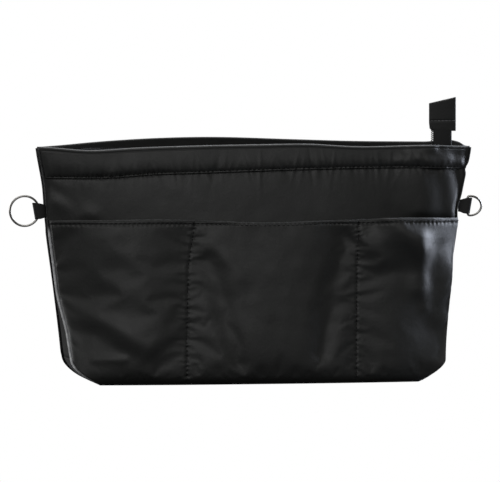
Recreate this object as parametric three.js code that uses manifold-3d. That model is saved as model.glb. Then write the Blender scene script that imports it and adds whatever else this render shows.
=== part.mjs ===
// A soft organizer that drops into a handbag: an open cloth body with three slip pockets in front, an open
// zip inside the rim whose end stands up as a tail, and a ring on a cloth loop at each end.
// Millimetres. X runs along the length, the front faces -Y, +Z is up, and the underside lies on z = 0.
import * as THREE from 'three';
import Module from 'manifold-3d';

const wasm = await Module();
wasm.setup();

// Body
const cornerHeight = 151.5;
const frontRimRise = 1.5;
const backRimRise = 6;
const rimHalfLength = 143;
const rimFlare = 2;
const waistHalfLength = 123.5;
const baseHalfLength = 105;
const baseEndRise = 17;
const mouthHalfDepth = 13;
const baseHalfDepth = 36;
const rimSeamHalfDepth = 4;
const baseSeamHalfDepth = 25;
const gussetOpenHeight = 90;

// Cloth
const clothThickness = 0.9;
const liningThickness = 0.7;
const boardThickness = 1.5;
const bandThickness = 0.7;
const bandHeight = 15;
const bandInnerHeight = 9;
const bindingWidth = 3.2;
const bindingThickness = 0.8;
const gap = 0.3;
const seamLip = 0.5;

// Front pockets
const pocketHeight = 104;
const pocketThickness = 0.8;
const leftDivider = -48;
const rightDivider = 62;
const leftPocketSwell = 11;
const middlePocketSwell = 12;
const rightPocketSwell = 11;

// Zip
const tapeWidth = 12;
const tapeThickness = 0.5;
const coilRadius = 0.65;
const tapeSink = 2.5;
const tapeInset = 30;
const sliderInset = 51;
const sliderLength = 9;
const sliderWidth = 7.4;
const sliderPlate = 1.1;
const sliderPost = 1.6;
const sliderLowerWidth = 2;
const bridgeHeight = 3.2;
const bridgeLength = 5;
const bridgeThickness = 1.1;
const pullLength = 20;
const pullWidth = 5;
const pullThickness = 1.1;
const pullEye = 3;
const pullEyeLength = 3.8;
const stopLength = 3;
const stopHeight = 4;
const tailInset = 18.8;
const tailBend = 18;
const tailHingeRise = 5;
const neckLength = 4.5;
const tabWidth = 17.9;
const tabLeftHeight = 18;
const tabRightHeight = 22;
const tabThickness = 2.4;

// Rings and loops
const leftLoopHeight = 110.5;
const rightLoopHeight = 112.5;
const loopWidth = 10;
const loopReach = 8.2;
const loopLeaf = 1;
const loopPlay = 0.4;
const wireRadius = 0.7;
const ringOuterRadius = 10.2;
const dRingHeight = 14;
const dRingLength = 10.6;
const dRingCorner = 1.6;

// Shares of a span, and powers that set how full a curve is
const endArcShare = 0.16;
const flareStartShare = 0.78;
const gussetPower = 2;
const plumpPower = 2.5;
const pocketPower = 0.75;
const pocketRoundShare = 0.36;
const pocketMouthShare = 0.85;
const wallSinkShare = 0.86;

// Where each layer of the wall starts and ends, measured inwards from the outside of the outer cloth
const clothLayer = [0, clothThickness];
const liningLayer = [clothThickness + gap, clothThickness + gap + liningThickness];
const gussetLayer = [seamLip, seamLip + clothThickness];
const gussetLiningLayer = [gussetLayer[1] + gap, gussetLayer[1] + gap + liningThickness];
const boardLayer = [clothThickness + gap, clothThickness + gap + boardThickness];
const floorLiningLayer = [boardLayer[1] + gap, boardLayer[1] + gap + liningThickness];
const bandInnerLayer = [liningLayer[1] + gap, liningLayer[1] + gap + bandThickness];
const clothTop = cornerHeight - gap - bandThickness;
const tailHingeHeight = cornerHeight + tailHingeRise;
const tabFoot = tailHingeHeight + neckLength;
const flatShare = 1 - endArcShare;
const tapeStart = tapeInset - rimHalfLength;
const sliderX = rimHalfLength - sliderInset;
const tailX = rimHalfLength - tailInset;

const FRONT = -1;
const BACK = 1;
const LEFT = -1;
const RIGHT = 1;

const cloth = { colour: 0x1d1e1e, roughness: 0.55, metalness: 0 };
const innerCloth = { colour: 0x141515, roughness: 0.7, metalness: 0 };
const board = { colour: 0x2b2b2b, roughness: 0.9, metalness: 0 };
const zipCloth = { colour: 0x18191a, roughness: 0.8, metalness: 0 };
const coilPlastic = { colour: 0x101112, roughness: 0.4, metalness: 0 };
const darkMetal = { colour: 0x3a3b3e, roughness: 0.3, metalness: 1 };
const steel = { colour: 0xb9bcc0, roughness: 0.25, metalness: 1 };

const group = new THREE.Group();

function add(name, geometry, look) {
  const material = new THREE.MeshStandardMaterial({
    color: look.colour,
    roughness: look.roughness,
    metalness: look.metalness,
  });
  const mesh = new THREE.Mesh(geometry, material);
  mesh.name = name;
  group.add(mesh);
}

function mix(from, to, share) {
  return from + (to - from) * share;
}

// 0 before from, 1 after to, and an even curve between
function ease(value, from, to) {
  return THREE.MathUtils.smoothstep(value, from, to);
}

// The bottom edge of the body in the X-Z plane, from one end (-1) over the flat base to the other (1)
function baseCurve(u, ends, lift) {
  const share = Math.abs(u);
  if (share <= flatShare) return { x: (baseHalfLength * u) / flatShare, z: lift };
  const turn = ((share - flatShare) / endArcShare) * (Math.PI / 2);
  const reach = baseHalfLength + (waistHalfLength - baseHalfLength - ends) * Math.sin(turn);
  return { x: Math.sign(u) * reach, z: baseEndRise - (baseEndRise - lift) * Math.cos(turn) };
}

// How far the end wall has moved out from the waist (0) to the rim (1) at a share of its height
function flare(t) {
  const total = rimHalfLength - waistHalfLength;
  const steady = total - rimFlare;
  return (steady * t + rimFlare * ease(t, flareStartShare, 1)) / total;
}

// Half the length of the body at a height
function halfLength(z) {
  const t = THREE.MathUtils.clamp((z - baseEndRise) / (clothTop - baseEndRise), 0, 1);
  return mix(waistHalfLength, rimHalfLength, flare(t));
}

// Half the depth of the body at its end seams
function seamDepth(z) {
  const open = Math.max(0, 1 - z / gussetOpenHeight) ** gussetPower;
  return mix(rimSeamHalfDepth, baseSeamHalfDepth, open);
}

// Half the depth of the body at a place on its wall
function wallDepth(x, z) {
  const middle = mix(baseHalfDepth, mouthHalfDepth, z / clothTop);
  const share = Math.min(1, Math.abs(x) / halfLength(z));
  return mix(middle, seamDepth(z), share ** plumpPower);
}

function rimHeight(side, u) {
  const rise = side === FRONT ? frontRimRise : backRimRise;
  return clothTop + rise * (1 - u * u);
}

// A point of the front or back wall: u runs along it, t from its foot (0) to the rim (1)
function wallPoint(side, u, t, inset, ends = 0, lift = 0) {
  const foot = baseCurve(u, ends, lift);
  const x = mix(foot.x, (rimHalfLength - ends) * u, flare(t));
  const z = mix(foot.z, rimHeight(side, u), t);
  return new THREE.Vector3(x, side * (wallDepth(x, z) - inset), z);
}

// The share of the wall's height at which it reaches a given height
function heightShare(side, u, height, ends = 0, lift = 0) {
  const foot = baseCurve(u, ends, lift).z;
  return (height - foot) / (rimHeight(side, u) - foot);
}

function solid(points, triangles) {
  const geometry = new THREE.BufferGeometry();
  geometry.setAttribute('position', new THREE.Float32BufferAttribute(points.flatMap((p) => p.toArray()), 3));
  const a = new THREE.Vector3();
  let volume = 0;
  for (const [i, j, k] of triangles) volume += a.crossVectors(points[i], points[j]).dot(points[k]);
  geometry.setIndex(triangles.flatMap(([i, j, k]) => (volume > 0 ? [i, j, k] : [i, k, j])));
  geometry.computeVertexNormals();
  return geometry;
}

// A closed sheet between two faces, each a function of two shares from 0 to 1
function sheet(outer, inner, columns, rows) {
  const points = [];
  const triangles = [];
  const across = rows + 1;
  for (const face of [outer, inner]) {
    for (let i = 0; i <= columns; i += 1) {
      for (let j = 0; j <= rows; j += 1) points.push(face(i / columns, j / rows));
    }
  }
  const layer = (columns + 1) * across;
  const quad = (p, q, r, s) => triangles.push([p, q, r], [p, r, s]);
  for (let i = 0; i < columns; i += 1) {
    for (let j = 0; j < rows; j += 1) {
      const p = i * across + j;
      quad(p, p + across, p + across + 1, p + 1);
      quad(layer + p, layer + p + 1, layer + p + across + 1, layer + p + across);
    }
  }
  for (let i = 0; i < columns; i += 1) {
    const low = i * across;
    const high = low + rows;
    quad(low + across, low, layer + low, layer + low + across);
    quad(high, high + across, layer + high + across, layer + high);
  }
  for (let j = 0; j < rows; j += 1) {
    const last = columns * across + j;
    quad(j, j + 1, layer + j + 1, layer + j);
    quad(last + 1, last, layer + last, layer + last + 1);
  }
  return solid(points, triangles);
}

// A solid through a row of frames, each with a place and two directions, from an outline in those directions
function sweep(frames, outline, closed = false) {
  const points = [];
  const triangles = [];
  const sides = outline.length;
  for (const frame of frames) {
    for (const [a, b] of outline) {
      points.push(frame.place.clone().addScaledVector(frame.across, a).addScaledVector(frame.out, b));
    }
  }
  const last = closed ? frames.length : frames.length - 1;
  for (let i = 0; i < last; i += 1) {
    const next = (i + 1) % frames.length;
    for (let j = 0; j < sides; j += 1) {
      const k = (j + 1) % sides;
      triangles.push([i * sides + j, next * sides + j, next * sides + k]);
      triangles.push([i * sides + j, next * sides + k, i * sides + k]);
    }
  }
  if (!closed) {
    const flat = outline.map(([a, b]) => new THREE.Vector2(a, b));
    const end = (frames.length - 1) * sides;
    const turned = THREE.ShapeUtils.area(flat) < 0;
    for (const [i, j, k] of THREE.ShapeUtils.triangulateShape(flat, [])) {
      triangles.push(turned ? [i, k, j] : [i, j, k]);
      triangles.push(turned ? [end + i, end + j, end + k] : [end + i, end + k, end + j]);
    }
  }
  return solid(points, triangles);
}

function roundOutline(radius, sides) {
  const turn = (2 * Math.PI) / sides;
  return Array.from({ length: sides }, (_, i) => [radius * Math.cos(i * turn), radius * Math.sin(i * turn)]);
}

function boxOutline(width, thickness) {
  const a = width / 2;
  const b = thickness / 2;
  return [[-a, -b], [a, -b], [a, b], [-a, b]];
}

// Walls, gussets and base

const arcColumns = 6;
const flatColumns = 16;
const wallColumns = 2 * arcColumns + flatColumns;
const wallRows = 12;

// Where a column of a wall stands, -1 to 1, with closer columns at the rounded ends of the base
function columnShare(i) {
  const step = i * wallColumns;
  const fromEnd = Math.min(step, wallColumns - step);
  if (fromEnd < arcColumns) return Math.sign(i - 0.5) * (1 - (endArcShare * fromEnd) / arcColumns);
  return (flatShare * (2 * (step - arcColumns) - flatColumns)) / flatColumns;
}

function wall(side, layer, ends, lift) {
  const face = (inset) => (i, j) => wallPoint(side, columnShare(i), j, inset, ends, lift);
  return sheet(face(layer[0]), face(layer[1]), wallColumns, wallRows);
}

function gusset(end, layer, edge) {
  const columns = 4;
  const face = (inset) => (i, j) => {
    const z = mix(baseEndRise + gap, clothTop, j);
    return new THREE.Vector3(end * (halfLength(z) - inset), (2 * i - 1) * (seamDepth(z) - edge), z);
  };
  return sheet(face(layer[0]), face(layer[1]), columns, wallRows);
}

function floor(layer, edge) {
  const rows = 4;
  const face = (inset) => (i, j) => {
    const { x, z } = baseCurve(columnShare(i), inset + seamLip, inset);
    return new THREE.Vector3(x, (2 * j - 1) * (wallDepth(x, z) - edge), z);
  };
  return sheet(face(layer[0]), face(layer[1]), wallColumns, rows);
}

function baseBoard() {
  const edge = liningLayer[1] + gap;
  const face = (z) => (i, j) => {
    const x = baseHalfLength * (2 * i - 1);
    return new THREE.Vector3(x, (2 * j - 1) * (wallDepth(x, z) - edge), z);
  };
  return sheet(face(boardLayer[0]), face(boardLayer[1]), flatColumns, 1);
}

const gussetEdge = clothLayer[1] + gap;
const liningEdge = liningLayer[1] + gap;

add('front_panel', wall(FRONT, clothLayer, 0, 0), cloth);
add('back_panel', wall(BACK, clothLayer, 0, 0), cloth);
add('left_gusset', gusset(LEFT, gussetLayer, gussetEdge), cloth);
add('right_gusset', gusset(RIGHT, gussetLayer, gussetEdge), cloth);
add('base_panel', floor(clothLayer, gussetEdge), cloth);
add('base_board', baseBoard(), board);
add('front_lining', wall(FRONT, liningLayer, gussetLiningLayer[0], liningLayer[0]), innerCloth);
add('back_lining', wall(BACK, liningLayer, gussetLiningLayer[0], liningLayer[0]), innerCloth);
add('left_lining', gusset(LEFT, gussetLiningLayer, liningEdge), innerCloth);
add('right_lining', gusset(RIGHT, gussetLiningLayer, liningEdge), innerCloth);
add('floor_lining', floor(floorLiningLayer, liningEdge), innerCloth);

// Rim bands: a strip folded over the edge of the cloth and the lining

function rimBand(side) {
  const outerFace = -gap - bandThickness;
  const innerFace = bandInnerLayer[1];
  const outline = [
    [-gap, bandHeight],
    [outerFace, bandHeight],
    [outerFace, outerFace],
    [innerFace, outerFace],
    [innerFace, bandInnerHeight],
    [bandInnerLayer[0], bandInnerHeight],
    [bandInnerLayer[0], -gap],
    [-gap, -gap],
  ];
  const points = [];
  const triangles = [];
  for (let i = 0; i <= wallColumns; i += 1) {
    const u = columnShare(i / wallColumns);
    for (const [inset, below] of outline) {
      const z = rimHeight(side, u) - below;
      const x = (halfLength(z) - bindingWidth - gap) * u;
      points.push(new THREE.Vector3(x, side * (wallDepth(x, z) - inset), z));
    }
  }
  const sides = outline.length;
  for (let i = 0; i < wallColumns; i += 1) {
    for (let j = 0; j < sides; j += 1) {
      const k = (j + 1) % sides;
      triangles.push([i * sides + j, (i + 1) * sides + j, (i + 1) * sides + k]);
      triangles.push([i * sides + j, (i + 1) * sides + k, i * sides + k]);
    }
  }
  const flat = outline.map(([a, b]) => new THREE.Vector2(a, b));
  const end = wallColumns * sides;
  const turned = THREE.ShapeUtils.area(flat) < 0;
  for (const [i, j, k] of THREE.ShapeUtils.triangulateShape(flat, [])) {
    triangles.push(turned ? [i, k, j] : [i, j, k]);
    triangles.push(turned ? [end + i, end + j, end + k] : [end + i, end + k, end + j]);
  }
  return solid(points, triangles);
}

add('front_rim_band', rimBand(FRONT), cloth);
add('back_rim_band', rimBand(BACK), cloth);

// Seam bindings: one strip down an end, along the bottom edge and up the other end

function seamBinding(side) {
  const near = -gap;
  const far = -gap - bindingThickness;
  const border = [];
  for (let j = wallRows; j > 0; j -= 1) border.push([-1, j / wallRows]);
  for (let i = 0; i <= wallColumns; i += 1) border.push([columnShare(i / wallColumns), 0]);
  for (let j = 1; j <= wallRows; j += 1) border.push([1, j / wallRows]);
  const face = (inset) => (i, j) => {
    const [u, t] = border[Math.round(i * (border.length - 1))];
    const inwards = j * bindingWidth;
    return wallPoint(side, u, t, inset, inwards, inwards + gap);
  };
  return sheet(face(far), face(near), border.length - 1, 1);
}

add('front_seam_binding', seamBinding(FRONT), cloth);
add('back_seam_binding', seamBinding(BACK), cloth);

// Front pockets: one cloth sewn down at both ends, along the bottom and at two dividers

function frontPockets() {
  const edge = bindingWidth + gap;
  const foot = edge + gap;
  const lobeColumns = 10;
  const rows = 10;
  const swells = [leftPocketSwell, middlePocketSwell, rightPocketSwell];
  const bounds = [-1, ...[leftDivider, rightDivider].map((x) => x / halfLength(pocketHeight / 2)), 1];
  const shares = [];
  for (let i = 0; i < arcColumns; i += 1) shares.push(-1 + (endArcShare * i) / arcColumns);
  for (let lobe = 0; lobe < swells.length; lobe += 1) {
    const from = Math.max(-flatShare, bounds[lobe]);
    const to = Math.min(flatShare, bounds[lobe + 1]);
    for (let i = 0; i < lobeColumns; i += 1) shares.push(mix(from, to, i / lobeColumns));
  }
  for (let i = 0; i <= arcColumns; i += 1) shares.push(flatShare + (endArcShare * i) / arcColumns);
  const columns = shares.length - 1;
  const swellAt = (u) => {
    const lobe = bounds.findIndex((bound, i) => i < swells.length && u <= bounds[i + 1]);
    const share = (u - bounds[lobe]) / (bounds[lobe + 1] - bounds[lobe]);
    return swells[lobe] * Math.sin(Math.PI * share) ** pocketPower;
  };
  const face = (extra) => (i, j) => {
    const u = shares[Math.round(i * columns)];
    const t = j * heightShare(FRONT, u, pocketHeight, edge, foot);
    const full = Math.sin(Math.min(1, j / pocketRoundShare) * (Math.PI / 2));
    const mouth = mix(1, pocketMouthShare, ease(j, pocketRoundShare, 1));
    return wallPoint(FRONT, u, t, -gap - swellAt(u) * full * mouth - extra, edge, foot);
  };
  return sheet(face(pocketThickness), face(0), columns, rows);
}

add('front_pocket_panel', frontPockets(), cloth);

// Loops and rings

const loopHole = 2 * (wireRadius + loopPlay);
const loopHalfThickness = loopHole / 2 + loopLeaf;

// How far out the wire's middle lies in a loop at a height
function wireX(height) {
  return halfLength(height) + loopReach - loopHalfThickness - loopHole / 2;
}

// The loop's strip seen from above: out along one side, round the bend and back
function loop(end, height) {
  const loopFoot = halfLength(height + loopWidth / 2) - seamLip + gap;
  const bend = wireX(height) + loopHole / 2;
  const shape = new THREE.Shape();
  shape.moveTo(loopFoot, -loopHalfThickness);
  shape.lineTo(bend, -loopHalfThickness);
  shape.absarc(bend, 0, loopHalfThickness, -Math.PI / 2, Math.PI / 2, false);
  shape.lineTo(loopFoot, loopHalfThickness);
  shape.lineTo(loopFoot, loopHole / 2);
  shape.lineTo(bend, loopHole / 2);
  shape.absarc(bend, 0, loopHole / 2, Math.PI / 2, -Math.PI / 2, true);
  shape.lineTo(loopFoot, -loopHole / 2);
  const geometry = new THREE.ExtrudeGeometry(shape, { depth: loopWidth, bevelEnabled: false, curveSegments: 8 });
  geometry.translate(0, 0, height - loopWidth / 2);
  if (end === LEFT) geometry.rotateZ(Math.PI);
  return geometry;
}

function roundRing() {
  const radius = ringOuterRadius - wireRadius;
  const geometry = new THREE.TorusGeometry(radius, wireRadius, 8, 36);
  geometry.rotateX(Math.PI / 2);
  geometry.translate(-wireX(leftLoopHeight) - radius, 0, leftLoopHeight);
  return geometry;
}

// The D: a straight bar through the loop, two small corners and half an ellipse
function dRing() {
  const halfHeight = dRingHeight / 2 - wireRadius;
  const reach = dRingLength - 2 * wireRadius - dRingCorner;
  const cornerX = wireX(rightLoopHeight) + dRingCorner;
  const path = [];
  const quarter = Math.PI / 2;
  const corner = (from, z) => {
    for (let i = 0; i <= 3; i += 1) {
      const turn = from - (quarter * i) / 3;
      path.push([cornerX + dRingCorner * Math.cos(turn), z + dRingCorner * Math.sin(turn)]);
    }
  };
  corner(2 * quarter, halfHeight - dRingCorner);
  for (let i = 1; i < 16; i += 1) {
    const turn = quarter - (2 * quarter * i) / 16;
    path.push([cornerX + reach * Math.cos(turn), halfHeight * Math.sin(turn)]);
  }
  corner(3 * quarter, dRingCorner - halfHeight);
  const at = ([x, z]) => new THREE.Vector3(x, 0, rightLoopHeight + z);
  const out = new THREE.Vector3(0, 1, 0);
  const frames = path.map((point, i) => {
    const before = at(path[(i + path.length - 1) % path.length]);
    const along = at(path[(i + 1) % path.length]).sub(before).normalize();
    return { place: at(point), across: along.cross(out), out };
  });
  return sweep(frames, roundOutline(wireRadius, 8), true);
}

add('left_loop', loop(LEFT, leftLoopHeight), zipCloth);
add('right_loop', loop(RIGHT, rightLoopHeight), zipCloth);
add('left_ring', roundRing(), steel);
add('right_d_ring', dRing(), steel);

// Zip: each tape stands on its wall inside the rim, leaves it near the slider, meets the other and bends up

const joinedSide = coilRadius + gap / 2;
const sliderSide = sliderPost / 2 + gap + coilRadius;
const coilOffset = tapeWidth / 2 + gap + coilRadius;
const bendX = tailX - tailBend;
const tailLow = cornerHeight - tailBend;
const wallTapeHeight = cornerHeight - tapeSink - tapeWidth / 2;
const sliderNear = sliderX - sliderLength / 2;
const sliderFar = sliderX + sliderLength / 2;
const pullTip = sliderX - pullLength;
const sinkX = mix(tapeStart, pullTip, wallSinkShare);
const coilHeight = tailLow + coilOffset;

// Half the distance between the tapes' middles at a place along the mouth
function tapeSide(x) {
  const inner = wallDepth(x, cornerHeight) - bandInnerLayer[1] - gap - coilRadius;
  const near = mix(inner, sliderSide, ease(x, pullTip, sliderNear));
  return mix(near, joinedSide, ease(x, sliderFar, bendX));
}

function tapeFrames(side) {
  const frames = [];
  const out = new THREE.Vector3(0, side, 0);
  const push = (x, z, y, turn) => {
    const across = new THREE.Vector3(-Math.sin(turn), 0, Math.cos(turn));
    frames.push({ place: new THREE.Vector3(x, side * y, z), across, out });
  };
  const level = 30;
  for (let i = 0; i <= level; i += 1) {
    const x = mix(tapeStart, bendX, i / level);
    push(x, mix(wallTapeHeight, tailLow, ease(x, sinkX, pullTip)), tapeSide(x), 0);
  }
  const bend = 8;
  for (let i = 1; i <= bend; i += 1) {
    const turn = ((Math.PI / 2) * i) / bend;
    push(bendX + tailBend * Math.sin(turn), cornerHeight - tailBend * Math.cos(turn), joinedSide, turn);
  }
  push(tailX, tailHingeHeight - gap / 2, joinedSide, Math.PI / 2);
  return frames;
}

function coilFrames(side) {
  const move = (frame) => ({ ...frame, place: frame.place.clone().addScaledVector(frame.across, coilOffset) });
  return tapeFrames(side).map(move);
}

for (const [name, side] of [['front', FRONT], ['back', BACK]]) {
  add(`${name}_zip_tape`, sweep(tapeFrames(side), boxOutline(tapeWidth, tapeThickness)), zipCloth);
  add(`${name}_zip_coil`, sweep(coilFrames(side), roundOutline(coilRadius, 6)), coilPlastic);
}

function box(x, y, z) {
  const [x0, x1] = x;
  const [y0, y1] = y;
  const [z0, z1] = z;
  return wasm.Manifold.cube([x1 - x0, y1 - y0, z1 - z0]).translate([x0, y0, z0]);
}

function fromManifold(body) {
  const mesh = body.getMesh();
  const points = [];
  const geometry = new THREE.BufferGeometry();
  for (let i = 0; i < mesh.numVert; i += 1) {
    points.push(...mesh.vertProperties.slice(i * mesh.numProp, i * mesh.numProp + 3));
  }
  geometry.setAttribute('position', new THREE.Float32BufferAttribute(points, 3));
  geometry.setIndex([...mesh.triVerts]);
  geometry.computeVertexNormals();
  return geometry;
}

const plateFoot = coilHeight + coilRadius + gap;
const plateTop = plateFoot + sliderPlate;
const bridgeTop = plateTop + bridgeHeight;
const lowerTop = coilHeight - coilRadius - gap;

// Slider: an upper plate with its edges turned down, a post between the coils, a lower plate and a bridge
function slider() {
  const halfWidth = sliderWidth / 2;
  const edgeInner = sliderSide + coilRadius + gap;
  const span = [sliderNear, sliderFar];
  const nose = [sliderX, sliderFar];
  let body = box(span, [-halfWidth, halfWidth], [plateFoot, plateTop]);
  for (const side of [FRONT, BACK]) {
    const edge = [side * edgeInner, side * halfWidth].sort((a, b) => a - b);
    body = body.add(box(span, edge, [coilHeight, plateTop]));
  }
  body = body.add(box(nose, [-sliderPost / 2, sliderPost / 2], [lowerTop - sliderPlate, plateTop]));
  const lower = [-sliderLowerWidth / 2, sliderLowerWidth / 2];
  body = body.add(box(span, lower, [lowerTop - sliderPlate, lowerTop]));
  const bridge = [sliderX - bridgeLength / 2, sliderX + bridgeLength / 2];
  const bridgeSide = [-bridgeThickness / 2, bridgeThickness / 2];
  const arch = box(bridge, bridgeSide, [plateFoot, bridgeTop]);
  const hole = [bridge[0] + bridgeThickness, bridge[1] - bridgeThickness];
  const air = box(hole, [-halfWidth, halfWidth], [plateTop, bridgeTop - bridgeThickness]);
  return fromManifold(body.add(arch.subtract(air)));
}

// Pull: a flat tag with an eye round the bridge, lying towards the closed end of the zip
function pull() {
  const inner = sliderX - bridgeLength / 2 + bridgeThickness + gap;
  const nearEnd = inner + pullThickness;
  const shape = new THREE.Shape();
  const half = pullWidth / 2;
  shape.moveTo(nearEnd, -half);
  shape.lineTo(nearEnd, half);
  shape.lineTo(nearEnd - pullLength + half, half);
  shape.absarc(nearEnd - pullLength + half, 0, half, Math.PI / 2, (3 * Math.PI) / 2, false);
  const eye = new THREE.Path();
  const eyeEnd = inner - pullEyeLength;
  eye.moveTo(inner, -pullEye / 2);
  eye.lineTo(eyeEnd, -pullEye / 2);
  eye.lineTo(eyeEnd, pullEye / 2);
  eye.lineTo(inner, pullEye / 2);
  shape.holes.push(eye);
  const geometry = new THREE.ExtrudeGeometry(shape, { depth: pullThickness, bevelEnabled: false });
  geometry.translate(0, 0, plateTop + gap);
  return geometry;
}

function leftStop() {
  const x = [tapeStart - gap - stopLength, tapeStart - gap];
  const inner = wallDepth(x[0], cornerHeight) - bandInnerLayer[1] - gap;
  const low = wallTapeHeight - tapeWidth / 2;
  return fromManifold(box(x, [-inner, inner], [low, low + stopHeight]));
}

// Tail: the joined tapes above the hinge line, the coil at their left edge and the sewn tab
function tailNeck() {
  const thickness = 2 * joinedSide + tapeThickness;
  const x = [tailX - tapeWidth / 2, tailX + tapeWidth / 2];
  return fromManifold(box(x, [-thickness / 2, thickness / 2], [tailHingeHeight + gap / 2, tabFoot - gap]));
}

function tailCoil() {
  const x = tailX - coilOffset;
  const half = joinedSide + coilRadius;
  const side = [-half, half];
  return fromManifold(box([x - coilRadius, x + coilRadius], side, [tailHingeHeight + gap / 2, tabFoot - gap]));
}

function tailTab() {
  const half = tabWidth / 2;
  const shape = new THREE.Shape();
  shape.moveTo(tailX - half, tabFoot);
  shape.lineTo(tailX + half, tabFoot);
  shape.lineTo(tailX + half, tabFoot + tabRightHeight);
  shape.lineTo(tailX - half, tabFoot + tabLeftHeight);
  const geometry = new THREE.ExtrudeGeometry(shape, { depth: tabThickness, bevelEnabled: false });
  geometry.rotateX(Math.PI / 2);
  geometry.translate(0, tabThickness / 2, 0);
  return geometry;
}

add('zip_slider', slider(), darkMetal);
add('zip_pull', pull(), darkMetal);
add('zip_left_stop', leftStop(), zipCloth);
add('zip_tail_neck', tailNeck(), zipCloth);
add('zip_tail_coil', tailCoil(), coilPlastic);
add('zip_tail_tab', tailTab(), cloth);

export default group;
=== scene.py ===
# %% [markdown]
# This lesson dresses a soft handbag organizer. On the real object thin silky nylon is sewn into an open
# body with three slip pockets, and everything the eye reads as cloth comes from how seams pull on it. The
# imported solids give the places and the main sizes, so the lesson starts by loading them as a fixed frame.

# %% Load the frame
import math
from functools import partial

import bpy
import numpy as np
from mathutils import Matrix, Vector


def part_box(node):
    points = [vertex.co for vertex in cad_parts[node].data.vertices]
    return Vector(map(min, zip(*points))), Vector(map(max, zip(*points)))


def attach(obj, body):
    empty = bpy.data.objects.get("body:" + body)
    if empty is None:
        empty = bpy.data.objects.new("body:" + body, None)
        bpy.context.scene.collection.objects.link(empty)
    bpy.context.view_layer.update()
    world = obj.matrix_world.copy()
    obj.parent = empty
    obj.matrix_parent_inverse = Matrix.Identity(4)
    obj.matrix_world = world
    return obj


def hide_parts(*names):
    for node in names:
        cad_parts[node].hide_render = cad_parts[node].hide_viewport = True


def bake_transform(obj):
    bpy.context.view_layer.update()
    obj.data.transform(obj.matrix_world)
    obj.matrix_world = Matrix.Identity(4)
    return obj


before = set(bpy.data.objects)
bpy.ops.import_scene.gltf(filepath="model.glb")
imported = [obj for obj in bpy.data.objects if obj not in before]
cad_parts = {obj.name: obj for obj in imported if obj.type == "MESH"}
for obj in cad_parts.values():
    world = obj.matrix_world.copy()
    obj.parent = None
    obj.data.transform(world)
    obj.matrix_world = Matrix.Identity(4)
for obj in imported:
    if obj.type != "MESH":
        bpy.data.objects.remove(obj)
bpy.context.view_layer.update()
scene = bpy.context.scene
mm = 0.001
FRONT, BACK = -1, 1

# %% [markdown]
# The camera comes before the pieces, so that every later step can be rendered at once. Its place was found
# by matching the rim's corners, the base and the rings to their places in the photograph.

# %% Camera
scene.view_settings.view_transform = "Standard"
azimuth, elevation = math.radians(-12.31), math.radians(1.66)
distance = 3.5
target = Vector((-3.3, 0, 90.5)) * mm
back_way = Vector((
    math.sin(azimuth) * math.cos(elevation),
    -math.cos(azimuth) * math.cos(elevation),
    math.sin(elevation),
))
camera_data = bpy.data.cameras.new("camera")
camera_data.sensor_width = 36
camera_data.lens = 392
camera_data.clip_end = 50
camera = bpy.data.objects.new("camera", camera_data)
camera.location = target + back_way * distance
camera.rotation_euler = back_way.to_track_quat("Z", "Y").to_euler()
scene.collection.objects.link(camera)
scene.camera = camera
print("camera at", [round(v, 2) for v in camera.location], "lens", camera_data.lens)

# %% [markdown]
# The body is one lofted shell. Seen from above it is a closed lens at the rim and a rounded box at the
# base, and its ends open like a wedge. Writing that as a depth over length and height keeps all cloths in
# line with each other, because each one is the same surface moved in or out by a little. The outer sizes
# come from the boxes of the imported solids, and how full the curves are is chosen.

# %% Sizes of the shell
panel_low, panel_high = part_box("front_panel")
binding_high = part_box("front_seam_binding")[1]
base_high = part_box("base_panel")[1]
board_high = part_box("base_board")[1]
rim_cloth_inset = 1.1 * mm
rim_half_length = panel_high.x - rim_cloth_inset
cloth_top = binding_high.z
base_half_depth = -panel_low.y
cloth_gap = 0.3 * mm
cloth_thickness = 0.9 * mm
seam_lip = 0.5 * mm
waist_half_length = base_high.x + seam_lip
base_half_length = board_high.x
base_end_rise = base_high.z
rim_seam_half_depth = cloth_thickness - panel_high.y
mouth_half_depth = 13 * mm
base_seam_half_depth = 25 * mm
gusset_open_height = 90 * mm
rim_flare = 2 * mm
back_tuck, back_tuck_height = 4.4 * mm, 90 * mm
foot_tuck, foot_tuck_heights = 2 * mm, (22 * mm, 6 * mm)
left_tuck, left_tuck_heights = 2.8 * mm, (62 * mm, 30 * mm)
left_fill, left_fill_height, left_fill_reach = 1.1 * mm, 105 * mm, 24 * mm
right_pinches = [(1.5 * mm, 137 * mm, 2.5 * mm), (1.7 * mm, 111 * mm, 7 * mm)]
corner_power = 2
arc_share = 0.16
flare_start = 0.78
gusset_power = 2
plump_power = 2.5
lean = -3.2 * mm
bottom_roll = 5.5 * mm
print("rim", round(2 * rim_half_length / mm), "mm long, base", round(2 * base_half_length / mm), "mm flat")


# %% The shell as functions
def mix(a, b, share):
    return a + (b - a) * share


def ease(value, start, end):
    t = np.clip((value - start) / (end - start), 0, 1)
    return t * t * (3 - 2 * t)


def shift(z):
    """The filled body leans a little to the left below the rim."""
    return lean * ease(z, cloth_top, 0)


def base_curve(u, ends=0.0, lift=0.0):
    """The bottom edge in the X-Z plane, for u from -1 to 1."""
    flat = 1 - arc_share
    turn = np.clip((np.abs(u) - flat) / arc_share, 0, 1) * math.pi / 2
    reach = (waist_half_length - base_half_length - ends) * np.sin(turn) ** corner_power
    x = np.sign(u) * (base_half_length * np.minimum(np.abs(u), flat) / flat + reach)
    z = base_end_rise - (base_end_rise - lift) * np.cos(turn)
    return x + shift(z), z


def flare(t):
    total = rim_half_length - waist_half_length
    return ((total - rim_flare) * t + rim_flare * ease(t, flare_start, 1)) / total


def half_length(z):
    t = np.clip((z - base_end_rise) / (cloth_top - base_end_rise), 0, 1)
    return mix(waist_half_length, rim_half_length, flare(t))


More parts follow.
